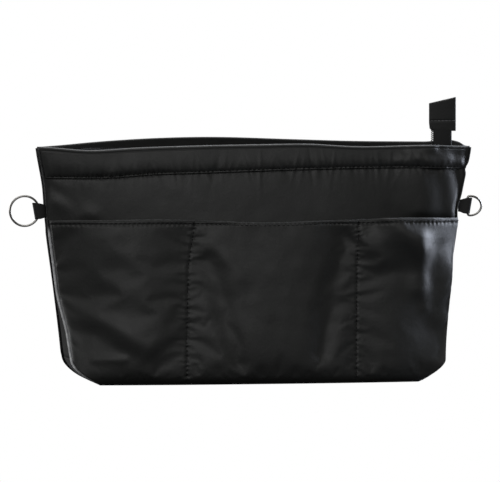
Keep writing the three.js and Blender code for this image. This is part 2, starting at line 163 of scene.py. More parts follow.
def seam_depth(z):
    opened = np.maximum(0, 1 - z / gusset_open_height) ** gusset_power
    return mix(rim_seam_half_depth, base_seam_half_depth, opened)


def roll_in(z):
    """How far the bottom edge has rolled in under the body at a height."""
    t = np.clip(z / bottom_roll, 0, 1)
    return bottom_roll * (1 - np.sqrt(1 - (1 - t) ** 2))


def wall_depth(x, z):
    middle = mix(base_half_depth, mouth_half_depth, z / cloth_top)
    share = np.minimum(1, np.abs(x - shift(z)) / half_length(z))
    return mix(middle, seam_depth(z), share ** plump_power) - roll_in(z)


def through(u, knots):
    """A smooth curve through listed (u, millimetres) knots."""
    places, values = np.array(knots).T
    slopes = np.gradient(values, places)
    slopes[[0, -1]] = 0
    i = np.clip(np.searchsorted(places, u) - 1, 0, len(places) - 2)
    step = places[i + 1] - places[i]
    t = np.clip((u - places[i]) / step, 0, 1)
    rise = values[i + 1] - values[i]
    bend = (slopes[i] * step - rise) * (1 - t) - (slopes[i + 1] * step - rise) * t
    return mm * (values[i] + rise * t + t * (1 - t) * bend)


print("half depth at mid height", round(float(wall_depth(0.0, cloth_top / 2)) / mm, 1), "mm")


# %% Rim waves, ends and places on a wall
front_rim = [
    (-1, 0), (-0.77, -2.1), (-0.57, -0.6), (-0.29, 0.7), (0, 1.4),
    (0.22, 1.7), (0.45, 0), (0.82, 0.7), (1, 0),
]
back_rim = [
    (-1, 0), (-0.93, 0.6), (-0.7, 3.3), (-0.47, 5.2), (-0.24, 6),
    (0.22, 4.3), (0.45, 3.3), (0.8, 2.8), (0.96, 2.6), (1, 0),
]


def rim_height(side, u):
    """The rim, with the shallow waves that soft cloth has."""
    return cloth_top + through(u, front_rim if side == FRONT else back_rim)


def tuck(side, u, z):
    """How far a wall's end is drawn in.

    The right end is pinched twice and the left one filled out. Every foot but the front's right one is
    tucked in."""
    filled = np.where(u < 0, left_fill * np.exp(-((z - left_fill_height) / left_fill_reach) ** 2), 0)
    for depth, height, reach in right_pinches:
        filled = filled - np.where(u > 0, depth * np.exp(-((z - height) / reach) ** 2), 0)
    if side == BACK:
        return back_tuck * ease(z, back_tuck_height, 0) + foot_tuck * ease(z, *foot_tuck_heights) - filled
    return np.where(u < 0, left_tuck * ease(z, *left_tuck_heights), 0) - filled


def wall_place(side, u, t, ends=0.0, lift=0.0):
    """Length and height of a place on a wall: u runs along it, t from its foot to its rim."""
    foot_x, foot_z = base_curve(u, ends, lift)
    z = mix(foot_z, rim_height(side, u), t)
    x = mix(foot_x - shift(foot_z), (rim_half_length - ends) * u, flare(t)) + shift(z)
    return x - u * tuck(side, u, z), z


def share_at(side, u, height, ends=0.0, lift=0.0):
    """The share of a wall's height at which it reaches a height."""
    foot = base_curve(u, ends, lift)[1]
    return (height - foot) / (rim_height(side, u) - foot)


highest = float(rim_height(BACK, np.linspace(-1, 1, 50)).max())
print("the back rim rises by up to", round((highest - cloth_top) / mm, 1), "mm")

# %% [markdown]
# Cloth shows its seams through small things: broad folds where it is pushed, short puckers across a row
# of stitches, and a pit where each stitch pulls the cloth in. They could be sculpted, but the folds that the
# photograph shows need fixed places. So each kind is a small formula over the wall's own length and height:
# the broad ones are placed one by one and the repeated ones come from a seeded generator. The small wrinkles
# in between may fall anywhere, so a cloth simulation adds them to the pockets later.

# %% Folds, puckers and pits
def fold(x, z, a, b, width, height):
    """A soft ridge of that height along the line from a to b."""
    ax, az, bx, bz = a[0] * mm, a[1] * mm, b[0] * mm, b[1] * mm
    length = math.hypot(bx - ax, bz - az)
    along = ((x - ax) * (bx - ax) + (z - az) * (bz - az)) / length
    across = ((x - ax) * (bz - az) - (z - az) * (bx - ax)) / length
    past = np.maximum(0, np.maximum(-along, along - length))
    return height * mm * np.exp(-(across ** 2 + past ** 2) / (width * mm) ** 2)


def folded(out, x, z, table):
    """A surface with a table of folds added, each from a to b with its width and height, in millimetres."""
    for a, b, width, height in table:
        out = out + fold(x, z, a, b, width, height)
    return out


pucker_places, pucker_widths = (0.2, 0.8), (0.16, 0.34)
pucker_sizes, pucker_lengths, pucker_slant = (0.2, 1.0), (0.5, 1.4), 0.25


def puckers(along, across, span, pitch, reach, height, seed):
    """Short ridges across a row of stitches, strongest at the row."""
    random = np.random.default_rng(seed)
    total = np.zeros_like(along)
    count = int((span[1] - span[0]) / pitch)
    for k in range(count):
        centre = span[0] + (k + random.uniform(*pucker_places)) * pitch
        width = random.uniform(*pucker_widths) * pitch
        slope = random.normal(0, pucker_slant)
        size = height * random.uniform(*pucker_sizes) * random.choice([1, 1, -1])
        length = reach * random.uniform(*pucker_lengths)
        beside = (along - centre - slope * across) / width
        total += size * np.exp(-beside ** 2) * np.exp(-np.abs(across) / length)
    return total


pit_base = 0.45


def pits(along, across, pitch, width, depth):
    """A row of pits, one for each stitch, and the shallow groove between them."""
    wave = (0.5 + 0.5 * np.cos(2 * math.pi * along / pitch)) ** 3
    return -depth * (pit_base + wave) * np.exp(-(across / width) ** 2)


test_pitch, test_depth = 3 * mm, 1 * mm
test_pits = pits(np.linspace(0, 2 * test_pitch, 60), 0.0, test_pitch, test_depth, test_depth)
print("a row 1 mm deep runs from", round(test_pits.max() / mm, 2), "to", round(test_pits.min() / mm, 2), "mm")


# %% Unevenness
cells, cell_offset = 64, 1000
crumple_cells, fine_share, crumple_cos, crumple_sin = (26 * mm, 9 * mm), 0.35, 0.8, 0.6


def lattice(x, z, cell, seed):
    """Even random values on a grid of cells, blended smoothly between them."""
    random = np.random.default_rng(seed)
    table = random.uniform(-1, 1, (cells, cells))
    gx, gz = x / cell + cell_offset, z / cell + cell_offset
    ix, iz = np.floor(gx).astype(int), np.floor(gz).astype(int)
    fx, fz = gx - ix, gz - iz
    fx, fz = fx * fx * (3 - 2 * fx), fz * fz * (3 - 2 * fz)
    left, right, low, high = ix % cells, (ix + 1) % cells, iz % cells, (iz + 1) % cells
    near = mix(table[left, low], table[right, low], fx)
    far = mix(table[left, high], table[right, high], fx)
    return mix(near, far, fz)


def crumple(x, z, height, seed):
    """The faint unevenness that handled nylon keeps, on a lattice turned so that no line of it runs level."""
    turned = crumple_cos * x + crumple_sin * z
    crossed = crumple_cos * z - crumple_sin * x
    wide, fine = [lattice(turned, crossed, cell, seed + i) for i, cell in enumerate(crumple_cells)]
    return height * (wide + fine_share * fine)


print("uneven by up to", 1 + fine_share, "times the height that is asked for")

# %% [markdown]
# A cloth is a grid of points with a little thickness. A grid keeps its own length and width as UV
# coordinates in metres, so that a weave can follow the threads and not the world. Solidify gives the
# thickness, and the result is taken from the evaluated object, so no modifier is left on the piece.

# %% A grid of points becomes a cloth
def plain(obj):
    """The evaluated object as a plain mesh with no modifiers."""
    graph = bpy.context.evaluated_depsgraph_get()
    mesh = bpy.data.meshes.new_from_object(obj.evaluated_get(graph))
    obj.modifiers.clear()
    obj.data = mesh
    return obj


def running_length(x, y, z, axis):
    step = np.sqrt(sum(np.diff(a, axis=axis) ** 2 for a in (x, y, z)))
    start = np.zeros_like(np.take(x, [0], axis=axis))
    return np.concatenate([start, np.cumsum(step, axis=axis)], axis=axis)


def cloth_mesh(name, x, y, z, thickness, closed=False, painted_highlight=None):
    """A mesh object through a grid of points; an optional point attribute holds the painted highlight, how
    far each point's colour is painted paler where light catches it.
    """
    columns, rows = x.shape
    points = np.stack([x, y, z], axis=-1).reshape(-1, 3)
    index = np.arange(columns * rows).reshape(columns, rows)
    if closed:
        index = np.vstack([index, index[:1]])
    corners = [index[:-1, :-1], index[1:, :-1], index[1:, 1:], index[:-1, 1:]]
    faces = np.stack(corners, axis=-1).reshape(-1, 4)
    mesh = bpy.data.meshes.new(name)
    mesh.from_pydata(points.tolist(), [], faces.tolist())
    along = running_length(x, y, z, 0).reshape(-1)
    across = running_length(x, y, z, 1).reshape(-1)
    uv = mesh.uv_layers.new(name="cloth")
    loops = np.zeros(len(mesh.loops), int)
    mesh.loops.foreach_get("vertex_index", loops)
    uv.data.foreach_set("uv", np.stack([along[loops], across[loops]], axis=-1).reshape(-1))
    mesh.polygons.foreach_set("use_smooth", [True] * len(mesh.polygons))
    highlight_attribute = mesh.attributes.new("painted_highlight", "FLOAT", "POINT")
    if painted_highlight is not None:
        highlight_attribute.data.foreach_set("value", painted_highlight.reshape(-1))
    obj = bpy.data.objects.new(name, mesh)
    scene.collection.objects.link(obj)
    if thickness:
        solidify = obj.modifiers.new("thickness", "SOLIDIFY")
        solidify.thickness = thickness
        solidify.offset = -1
        plain(obj)
    return obj


def cloth_area(x, y, z):
    """The area of a grid of points, which is what the cloth is cut to."""
    p = np.stack([x, y, z], axis=-1)
    a, b = p[1:, 1:] - p[:-1, :-1], p[1:, :-1] - p[:-1, 1:]
    return float(np.linalg.norm(np.cross(a, b), axis=-1).sum() / 2)


def cut_size(x, y, z):
    """Width, length and area of the flat cut, from the grid's own lengths."""
    width = float(running_length(x, y, z, 0)[-1].max())
    length = float(running_length(x, y, z, 1)[:, -1].max())
    return (width, length), min(cloth_area(x, y, z), width * length)


test_width, test_length = 40 * mm, 30 * mm
test_x, test_z = np.meshgrid([0, test_width], [0, test_length], indexing="ij")
print("a cloth of 40 by 30 mm has", round(cloth_area(test_x, 0 * test_x, test_z) / mm ** 2), "square mm")

# %% [markdown]
# Filled pockets are full of small wrinkles that no formula places well, so the pocket cloth settles in a
# short cloth simulation. The cloth starts on its smooth surface, a little longer than its room, and is held
# where it is sewn. Only how far each point moves is kept, so the broad shape stays the one that was drawn,
# and a coarse grid is enough because the moves are refined afterwards.

# %% A cloth settles
def refine(table):
    """Twice as many places along both ways, each new one on a cubic through its four neighbours."""
    for _ in range(2):
        padded = np.concatenate([2 * table[:1] - table[1:2], table, 2 * table[-1:] - table[-2:-1]])
        finer = np.zeros((2 * len(table) - 1, *table.shape[1:]))
        finer[::2] = table
        finer[1::2] = (9 * (padded[1:-2] + padded[2:-1]) - padded[:-3] - padded[3:]) / 16
        table = finer.swapaxes(0, 1)
    return table


simulation_scale, held_levels, simulation_steps = 10, 10, 24


def settle(name, points, held, extra, pressure, furthest):
    """Lets a cloth find its own wrinkles in a cloth simulation, and gives each point's move.

    held is 1 where stitches fix the cloth and 0 where it is free, extra is how much longer the cloth is
    than the space it was sewn into, and no move in the table is longer than furthest."""
    start = np.stack(points, axis=-1)
    obj = cloth_mesh(name, *[a * simulation_scale for a in points], 0)
    group = obj.vertex_groups.new(name="held")
    levels = np.round(held.reshape(-1) * held_levels).astype(int)
    for level in range(1, held_levels + 1):
        group.add(np.flatnonzero(levels == level).tolist(), level / held_levels, "REPLACE")
    modifier = obj.modifiers.new("cloth", "CLOTH")
    cloth = modifier.settings
    cloth.quality = 6
    cloth.mass = 0.3
    cloth.tension_stiffness = cloth.compression_stiffness = 40
    cloth.shear_stiffness = 12
    cloth.bending_stiffness = 2.5
    cloth.air_damping = 2
    cloth.vertex_group_mass = group.name
    cloth.shrink_min = -extra
    cloth.use_pressure = True
    cloth.uniform_pressure_force = pressure
    cloth.effector_weights.gravity = 0
    modifier.collision_settings.use_collision = False
    modifier.point_cache.frame_end = simulation_steps
    for frame_number in range(1, simulation_steps + 1):
        scene.frame_set(frame_number)
    settled = obj.evaluated_get(bpy.context.evaluated_depsgraph_get()).data
    found = np.zeros(start.size)
    settled.vertices.foreach_get("co", found)
    move = found.reshape(start.shape) / simulation_scale - start
    bpy.data.objects.remove(obj)
    scene.frame_set(1)
    length = np.linalg.norm(move, axis=-1, keepdims=True) + 1e-9
    print(name, "moved up to", round(float(length.max()) / mm, 1), "mm before the limit")
    print(name, "moved by", round(float(length.mean()) / mm, 2), "mm on average")
    return refine(move * furthest * np.tanh(length / furthest) / length)


def moved(points, moves):
    return [a + moves[..., i] for i, a in enumerate(points)]


def move_at(moves, u, v):
    """The move at any place: u from -1 to 1 over the columns, v from 0 to 1 over the rows."""
    a = np.clip((u + 1) / 2, 0, 1) * (moves.shape[0] - 1)
    b = np.clip(v, 0, 1) * (moves.shape[1] - 1)
    i, j = np.minimum(a.astype(int), moves.shape[0] - 2), np.minimum(b.astype(int), moves.shape[1] - 2)
    a, b = (a - i)[..., None], (b - j)[..., None]
    return mix(mix(moves[i, j], moves[i + 1, j], a), mix(moves[i, j + 1], moves[i + 1, j + 1], a), b)


print("refined, 3 places become", len(refine(np.zeros((3, 3, 3)))))

# %% [markdown]
# Every cloth of the bag is sewn in by one function. It hides the solid that the cloth stands for, attaches
# the cloth to the body it rides on unless a bend is given, and prints the size that the cloth has when it
# lies flat, measured along the grid's own lines.

# %% Sewing a cloth into the bag
def sew(name, points, thickness, material, node, turned=0.0, painted_highlight=None, bend=None):
    """Makes a cloth of the bag from a grid, hides the solid that it stands for and prints how it was cut.

    turned is the cloth that is folded under along its edges. When bend is given, the cloth is not attached
    to the bag but keeps its place in the world; the body and the places in bend are not used."""
    obj = cloth_mesh(name, *points, thickness, painted_highlight=painted_highlight)
    obj.data.materials.append(material)
    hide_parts(node)
    if bend is None:
        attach(obj, "bag")
    else:
        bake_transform(obj)
    (width, length), area = cut_size(*points)
    flat = (width + 2 * turned, length + 2 * turned)
    area = min(area + 2 * turned * (width + length), flat[0] * flat[1])
    print(name, len(obj.data.polygons), "faces, cut", [round(v / mm) for v in flat], "mm")
    return obj


def grid(columns, rows):
    """Places on a cloth: from -1 to 1 along its columns and from 0 to 1 up its rows."""
    return np.meshgrid(np.linspace(-1, 1, columns), np.linspace(0, 1, rows), indexing="ij")


print("a grid of 3 by 2 has", grid(3, 2)[0].size, "points")

# %% [markdown]
# The finishes come next. Black nylon taffeta is almost black where it faces the viewer and turns silver
# blue where it turns away, because its flat smooth threads reflect at a glance. A dark Principled base
# with sheen, a weave a quarter of a millimetre wide and a broken satin gloss gives both. An image of cloth
# would show its repeats. The weave and the gloss are shared node groups that put out values only, and each
# material keeps its shader.

# %% Shared node groups
def new_group(name, inputs, outputs):
    group = bpy.data.node_groups.new(name, "ShaderNodeTree")
    for label, kind, value in inputs:
        socket = group.interface.new_socket(label, in_out="INPUT", socket_type=kind)
        socket.default_value = value
    for label, kind in outputs:
        group.interface.new_socket(label, in_out="OUTPUT", socket_type=kind)
    return group, group.nodes.new("NodeGroupInput"), group.nodes.new("NodeGroupOutput")


def maths(tree, operation, a, b=None):
    """A maths node; a and b are sockets or numbers."""
    node = tree.nodes.new("ShaderNodeMath")
    node.operation = operation
    for slot, value in enumerate([a] if b is None else [a, b]):
        if isinstance(value, (int, float)):
            node.inputs[slot].default_value = value
        else:
            tree.links.new(value, node.inputs[slot])
    return node.outputs[0]


def weave_group():
    """Plain weave: each thread is a rounded rib that dives under every second one that crosses it."""
    floats = [("Threads per metre", "NodeSocketFloat", 3600.0)]
    group, source, result = new_group("Plain weave", floats, [("Height", "NodeSocketFloat")])
    uv = group.nodes.new("ShaderNodeUVMap")
    uv.uv_map = "cloth"
    split = group.nodes.new("ShaderNodeSeparateXYZ")
    group.links.new(uv.outputs[0], split.inputs[0])
    waves = []
    for axis in (0, 1):
        turns = maths(group, "MULTIPLY", split.outputs[axis], source.outputs[0])
        waves.append(maths(group, "SINE", maths(group, "MULTIPLY", turns, math.pi)))
    checker = maths(group, "MULTIPLY", waves[0], waves[1])
    ribs = maths(group, "ABSOLUTE", checker)
    group.links.new(ribs, result.inputs[0])
    return group


def gloss_group():
    """Satin that breaks up: handled cloth is a little smoother and a little rougher from place to place."""
    inputs = [("Scale", "NodeSocketFloat", 60.0)]
    outputs = [("Value", "NodeSocketFloat"), ("Crease", "NodeSocketFloat")]
    group, source, result = new_group("Broken gloss", inputs, outputs)
    place = group.nodes.new("ShaderNodeTexCoord")
    broad = group.nodes.new("ShaderNodeTexNoise")
    broad.inputs["Detail"].default_value = 5
    broad.inputs["Roughness"].default_value = 0.6
    group.links.new(place.outputs["Object"], broad.inputs["Vector"])
    group.links.new(source.outputs[0], broad.inputs["Scale"])
    fine = group.nodes.new("ShaderNodeTexNoise")
    fine.inputs["Detail"].default_value = 3
    fine.inputs["Distortion"].default_value = 0.6
    group.links.new(place.outputs["Object"], fine.inputs["Vector"])
    group.links.new(maths(group, "MULTIPLY", source.outputs[0], 4.0), fine.inputs["Scale"])
    group.links.new(broad.outputs[0], result.inputs[0])
    group.links.new(fine.outputs[0], result.inputs[1])
    return group


weave = weave_group()
gloss = gloss_group()
print("node groups", weave.name, gloss.name)


# %% Helpers for the materials
def principled(name, colour, roughness, **values):
    material = bpy.data.materials.new(name)
    material.use_nodes = True
    shader = material.node_tree.nodes["Principled BSDF"]
    shader.inputs["Base Color"].default_value = (*colour, 1)
    shader.inputs["Roughness"].default_value = roughness
    for label, value in values.items():
        shader.inputs[label.replace("_", " ")].default_value = value
    return material, material.node_tree, shader


def use_group(tree, group, **values):
    node = tree.nodes.new("ShaderNodeGroup")
    node.node_tree = group
    for label, value in values.items():
        node.inputs[label.replace("_", " ")].default_value = value
    return node


def ranged(tree, value, low, high):
    """A value from 0 to 1 spread between low and high."""
    node = tree.nodes.new("ShaderNodeMapRange")
    tree.links.new(value, node.inputs["Value"])
    node.inputs["To Min"].default_value = low
    node.inputs["To Max"].default_value = high
    return node.outputs[0]


def bump(tree, height, strength, distance, before=None):
    node = tree.nodes.new("ShaderNodeBump")
    node.inputs["Strength"].default_value = strength
    node.inputs["Distance"].default_value = distance
    tree.links.new(height, node.inputs["Height"])
    if before is not None:
        tree.links.new(before, node.inputs["Normal"])
    return node.outputs[0]


def between_colours(tree, factor, low, high):
    """A mix of two colours, or of a socket's colour and one, by a factor that changes over the piece."""
    node = tree.nodes.new("ShaderNodeMix")
    node.data_type = "RGBA"
    for slot, colour in (("A", low), ("B", high)):
        if isinstance(colour, tuple):
            node.inputs[slot].default_value = (*colour, 1)
        else:
            tree.links.new(colour, node.inputs[slot])
    tree.links.new(factor, node.inputs["Factor"])
    return node.outputs["Result"]


def shaded(colour, share):
    return tuple(c * share for c in colour)


print("helpers ready for", len(bpy.data.node_groups), "node groups")


# %% Woven cloth
weave_depth, weave_strength, crease_depth = 0.05 * mm, 0.25, 0.4 * mm
smoother, rougher, cloth_dark_share, cloth_light_share = -0.1, 0.12, 0.8, 1.25
# The last pair on the next line breaks up a painted highlight, and the last two colours on the line after are
# its pale colours: where light catches a fold or an edge, the cloth is painted paler.
cloth_gloss_scale, sheen_roughness, highlight_shares = 60.0, 0.35, (0.2, 1.3)
sheen_tint, cloth_ior, nylon_highlight, edge_highlight = (0.95, 0.97, 1.0), 1.5, (0.3, 0.305, 0.31), (0.75, 0.76, 0.78)


def cloth_material(name, colour, roughness, sheen, threads, crease, pale=nylon_highlight):
    """Woven cloth: weave and creases in the normal, gloss and colour that vary a little, and a painted
    highlight that mixes lit folds and edges towards a pale colour.
    """
    material, tree, shader = principled(
        name, colour, roughness, Sheen_Weight=sheen, Sheen_Roughness=sheen_roughness,
        Sheen_Tint=(*sheen_tint, 1), IOR=cloth_ior,
    )
    broken = use_group(tree, gloss, Scale=cloth_gloss_scale)
    satin = ranged(tree, broken.outputs["Value"], roughness + smoother, roughness + rougher)
    tree.links.new(satin, shader.inputs["Roughness"])
    dark, light = shaded(colour, cloth_dark_share), shaded(colour, cloth_light_share)
    tint = between_colours(tree, broken.outputs["Value"], dark, light)
    # The painted highlight: a point attribute says where light catches a fold or an edge, and the colour is
    # mixed towards the pale colour there.
    highlight_attribute = tree.nodes.new("ShaderNodeAttribute")
    highlight_attribute.attribute_name = "painted_highlight"
    uneven = ranged(tree, broken.outputs["Crease"], *highlight_shares)
    painted_highlight = maths(tree, "MULTIPLY", highlight_attribute.outputs["Fac"], uneven)
    tree.links.new(between_colours(tree, painted_highlight, tint, pale), shader.inputs["Base Color"])
    creased = bump(tree, broken.outputs["Crease"], crease, crease_depth)
    threaded = use_group(tree, weave, Threads_per_metre=threads)
    normal = bump(tree, threaded.outputs[0], weave_strength, weave_depth, creased)
    tree.links.new(normal, shader.inputs["Normal"])
    return material


nylon = cloth_material("Black nylon", (0.0125, 0.013, 0.0125), 0.47, 0.12, 3600.0, 0.3)
# The ends get a shaded copy of the nylon: a slightly darker colour with no sheen, as painted shade on the end
# cloths.
shaded_end_nylon = cloth_material("Black nylon ends", (0.011, 0.0115, 0.011), 0.62, 0.0, 3600.0, 0.4)
lining_cloth = cloth_material("Black lining", (0.007, 0.007, 0.0075), 0.55, 0.08, 3000.0, 0.2)
tape_cloth = cloth_material("Zip tape", (0.006, 0.006, 0.0065), 0.6, 0.0, 1400.0, 0.1)
webbing = cloth_material("Webbing", (0.007, 0.007, 0.007), 0.6, 0.03, 900.0, 0.1)
# The bound edge's last colour is a painted highlight: where the attribute asks, it is painted near white.
edge_cloth = cloth_material("Bound edge", (0.012, 0.012, 0.0125), 0.5, 0.2, 2600.0, 0.1, pale=edge_highlight)
print("cloths", len(bpy.data.materials))

# %% Thread, coil, board and metal
mark_depth, twist_depth, twist_strength = 0.1 * mm, 0.05 * mm, 0.5
polished_share, dulled_share, worked_dark_share, worked_light_share = 0.7, 1.4, 0.75, 1.2


def worked_material(name, colour, roughness, scale, crease, metallic=0.0, ply=0.0):
    """Thread, plastic, board or metal: an uneven gloss, fine marks, and a twist where there are plies."""
    material, tree, shader = principled(name, colour, roughness, Metallic=metallic)
    broken = use_group(tree, gloss, Scale=scale)
    dulled = min(1, roughness * dulled_share)
    spread = ranged(tree, broken.outputs["Value"], roughness * polished_share, dulled)
    tree.links.new(spread, shader.inputs["Roughness"])
    dark, light = shaded(colour, worked_dark_share), shaded(colour, worked_light_share)
    tint = between_colours(tree, broken.outputs["Crease"], dark, light)
    tree.links.new(tint, shader.inputs["Base Color"])
    normal = bump(tree, broken.outputs["Crease"], crease, mark_depth)
    if ply:
        place = tree.nodes.new("ShaderNodeTexCoord")
        twist = tree.nodes.new("ShaderNodeTexWave")
        twist.bands_direction = "DIAGONAL"
        twist.inputs["Scale"].default_value = ply
        tree.links.new(place.outputs["Object"], twist.inputs["Vector"])
        normal = bump(tree, twist.outputs["Fac"], twist_strength, twist_depth, normal)
    tree.links.new(normal, shader.inputs["Normal"])
    return material


thread = worked_material("Black thread", (0.003, 0.003, 0.003), 0.85, 300.0, 0.2, ply=600.0)
matt_ior = 1.3
thread.node_tree.nodes["Principled BSDF"].inputs["IOR"].default_value = matt_ior
light_thread = worked_material("Grey thread", (0.17, 0.17, 0.175), 0.5, 300.0, 0.2, ply=600.0)
coil_plastic = worked_material("Zip coil", (0.012, 0.012, 0.013), 0.35, 250.0, 0.1)
board_sheet = worked_material("Stiff sheet", (0.05, 0.05, 0.05), 0.6, 120.0, 0.3)
steel = worked_material("Bright steel", (0.4, 0.39, 0.37), 0.14, 180.0, 0.05, metallic=1.0)
dark_metal = worked_material("Dark zinc", (0.05, 0.05, 0.055), 0.3, 220.0, 0.12, metallic=1.0)
print("materials", len(bpy.data.materials))

# %% [markdown]
# The wall cloths show between the pockets and the rim, and the back one all over. Near the folded rim the
# stitch row gathers the cloth into puckers, and below it faint folds run to the ends. The stitch row and
# the rim band share the same puckers, which is why the pucker field is one function of length and height.

# %% Front and back wall cloths
band_height = 15 * mm
stitch_low = 0.9 * mm
hem_pitch = 3 * mm
hem_drop = [
    (-1, -18.2), (-0.7, -18), (-0.5, -16), (-0.27, -15), (0.2, -13), (0.4, -12.4), (0.65, -12), (1, -12.8),
]
wall_dip, wall_reach = 1.8 * mm, 7 * mm
band_dip, band_reach = 0.6 * mm, 1.5 * mm
wall_end_share = 0.04
hem_gathers = [(5.2 * mm, 4.5 * mm, 0.8 * mm), (2.3 * mm, 2.2 * mm, 0.45 * mm)]
hem_seeds, wall_seed, wall_crumple = {FRONT: 3, BACK: 8}, 11, 0.4 * mm
pit_widths, pit_depths = (1.0, 1.7), (0.4, 1.1)
gathered_share, gathered_half_shares = -0.64, (0.24, 0.16)


def hem_line(side, u):
    """The height of the stitch row that holds the rim band."""
    if side == BACK:
        return rim_height(side, u) - band_height + stitch_low
    return cloth_top + through(u, hem_drop)


def hem_dip(side, z, u, depth, reach):
    """The stitch row draws a cloth in, so that the light falls off above it and comes back below."""
    away = z - hem_line(side, u)
    return depth * np.exp(-np.abs(away) / reach) * ease(1 - np.abs(u), 0, wall_end_share)


def hem_field(side, x, z, u):
    """Puckers and pits of the hem's stitch row, at any place near it; the row gathers most at the left."""
    away = z - hem_line(side, u)
    span = (-rim_half_length, rim_half_length)
    broad, fine = [puckers(x, away, span, *sizes, hem_seeds[side] + i) for i, sizes in enumerate(hem_gathers)]
    gathered = ease(np.abs(u - gathered_share), *gathered_half_shares)
    row = pits(x, away, hem_pitch, mix(*pit_widths, gathered) * mm, mix(*pit_depths, gathered) * mm)
    return broad + fine + row + crumple(x, z, wall_crumple, wall_seed + side)


def back_first(side, points):
    """The grid in the order that turns its faces outwards."""
    return [a[::-1] for a in points] if side > 0 else points


wall_folds = {
    FRONT: [
        ((-128, 116), (-108, 108), 5, 0.9), ((-134, 126), (-118, 112), 4, -0.7),
        ((109, 150), (112, 112), 15, 4.2), ((126, 134), (129, 108), 6, 1.8),
    ],
    BACK: [
        ((-60, 20), (-90, 90), 16, 2.2), ((40, 30), (95, 70), 14, 2.0), ((-10, 100), (60, 112), 10, -1.6),
    ],
}
behind_pockets = (96 * mm, 110 * mm)
band_bed, band_bed_reach = 0.9 * mm, 3 * mm
outer_sheet, inner_sheet = 0.6 * mm, 0.4 * mm


def wall_surface(side, u, t):
    """A wall's outer face; the front one lies smooth where the pockets cover it."""
    x, z = wall_place(side, u, t)
    out = folded(hem_field(side, x, z, u), x, z, wall_folds[side])
    if side == FRONT:
        out *= ease(z, *behind_pockets)
    out *= ease(1 - np.abs(u), 0, wall_end_share)
    under_band = band_bed * ease(z - hem_line(side, u), 0, band_bed_reach)
    return x, side * (wall_depth(x, z) + out - under_band - hem_dip(side, z, u, wall_dip, wall_reach)), z


for name, side in (("front", FRONT), ("back", BACK)):
    points = back_first(side, wall_surface(side, *grid(300, 110)))
    sew(f"{name}_cloth", points, outer_sheet, nylon, f"{name}_panel")

# %% [markdown]
# The rim band is one strip folded over the edge. Its outer leaf puffs slightly between the fold and the
# stitch row, and the fold itself is a tight round edge that catches a thin line of light, which is also
# painted on as a painted highlight, stronger on the front. One profile that runs up, over and down inside,
# swept along the rim, gives all of it in one grid.

# %% Rim bands
band_inner = 9 * mm
band_cloth = 0.7 * mm
lining_inset = cloth_thickness + cloth_gap
band_inset = lining_inset + band_cloth + cloth_gap
outer_share, over_share = 0.52, 0.16
band_stand, band_puff, band_roll = 0.25 * mm, 0.75 * mm, 0.9 * mm
# The last two on the next line place and size the painted highlight along the rim's fold, and the line after
# gives its strength on each side.
pinched_roll_share, highlight_place_share, highlight_width_share = 0.25, 0.3, 0.22
rim_highlight = {FRONT: 0.6, BACK: 0.3}
groove, groove_share, groove_width_share = 0.45 * mm, 0.92, 0.022


def band_profile(v, pinch, outer_height):
    """How far in from the wall's face and how far below the rim the strip lies, for v from 0 to 1."""
    up = np.clip(v / outer_share, 0, 1)
    over = np.clip((v - outer_share) / over_share, 0, 1)
    down = np.clip((v - outer_share - over_share) / (1 - outer_share - over_share), 0, 1)
    pressed = groove * pinch * np.exp(-((up - groove_share) / groove_width_share) ** 2)
    puff = band_puff * pinch * np.sin(math.pi * (1 - up) ** 1.3) - pressed
    half = (band_inset + band_roll) / 2 * mix(pinched_roll_share, 1, pinch)
    inset = np.where(v > outer_share, half - band_stand - half * np.cos(math.pi * over), -band_stand - puff)
    below = outer_height * (1 - up) - band_roll * np.sin(math.pi * over) + band_inner * down
    return inset, below


band_end_gap, band_end_share, outer_leaf_depth = 0.4 * mm, 0.03, 1.5 * mm
band_cell, band_unevenness, band_seed, uneven_from, uneven_to = 5 * mm, 0.6 * mm, 95, 60 * mm, 120 * mm


def band_surface(side, u, v):
    """The rim strip, with the hem's puckers on its outer leaf only."""
    pinch = ease(1 - np.abs(u), 0, band_end_share)
    outer_height = rim_height(side, u) - hem_line(side, u) + stitch_low
    inset, below = band_profile(v, pinch, outer_height)
    z = rim_height(side, u) - below
    x = (half_length(z) - band_end_gap) * u + shift(z)
    outside = ease(-inset, -outer_leaf_depth, 0)
    out = (hem_field(side, x, z, u) - hem_dip(side, z, u, band_dip, band_reach)) * outside * pinch
    if side == FRONT:
        out += fold(x, z, (114, 150), (117, 112), 16, 4.4) * ease(np.abs(u), 1, 1 - wall_end_share)
        out += fold(x, z, (92, 142), (132, 141), 4, 0.8) * outside
        uneven = lattice(x, z, band_cell, band_seed) * band_unevenness
        out += uneven * ease(x, uneven_from, uneven_to) * outside * pinch
    return x, side * (wall_depth(x, z) - inset + out), z


for name, side in (("front", FRONT), ("back", BACK)):
    u, v = grid(420, 90)
    points = back_first(side, band_surface(side, u, v))
    # A painted highlight along the crest of the fold, stronger on the front.
    highlight_place = v - outer_share - over_share * highlight_place_share
    fold_line = np.exp(-(highlight_place / (over_share * highlight_width_share)) ** 2)
    sew(
        f"{name}_rim_cloth", points, inner_sheet, nylon, f"{name}_rim_band",
        painted_highlight=rim_highlight[side] * fold_line,
    )

# %% [markdown]
# The pocket cloth is one piece, sewn down at both ends, along the bottom and at two rows between. Filled
# pockets swell between those rows, and the top hem stands off the wall. The broad folds follow the
# photograph: one slants across the left pocket, two run down beside the flat middle, and the right pocket
# has a fold that catches the window light. Last, the cloth is cut a little longer than its room and
# settles in a short cloth simulation, held where it is sewn.

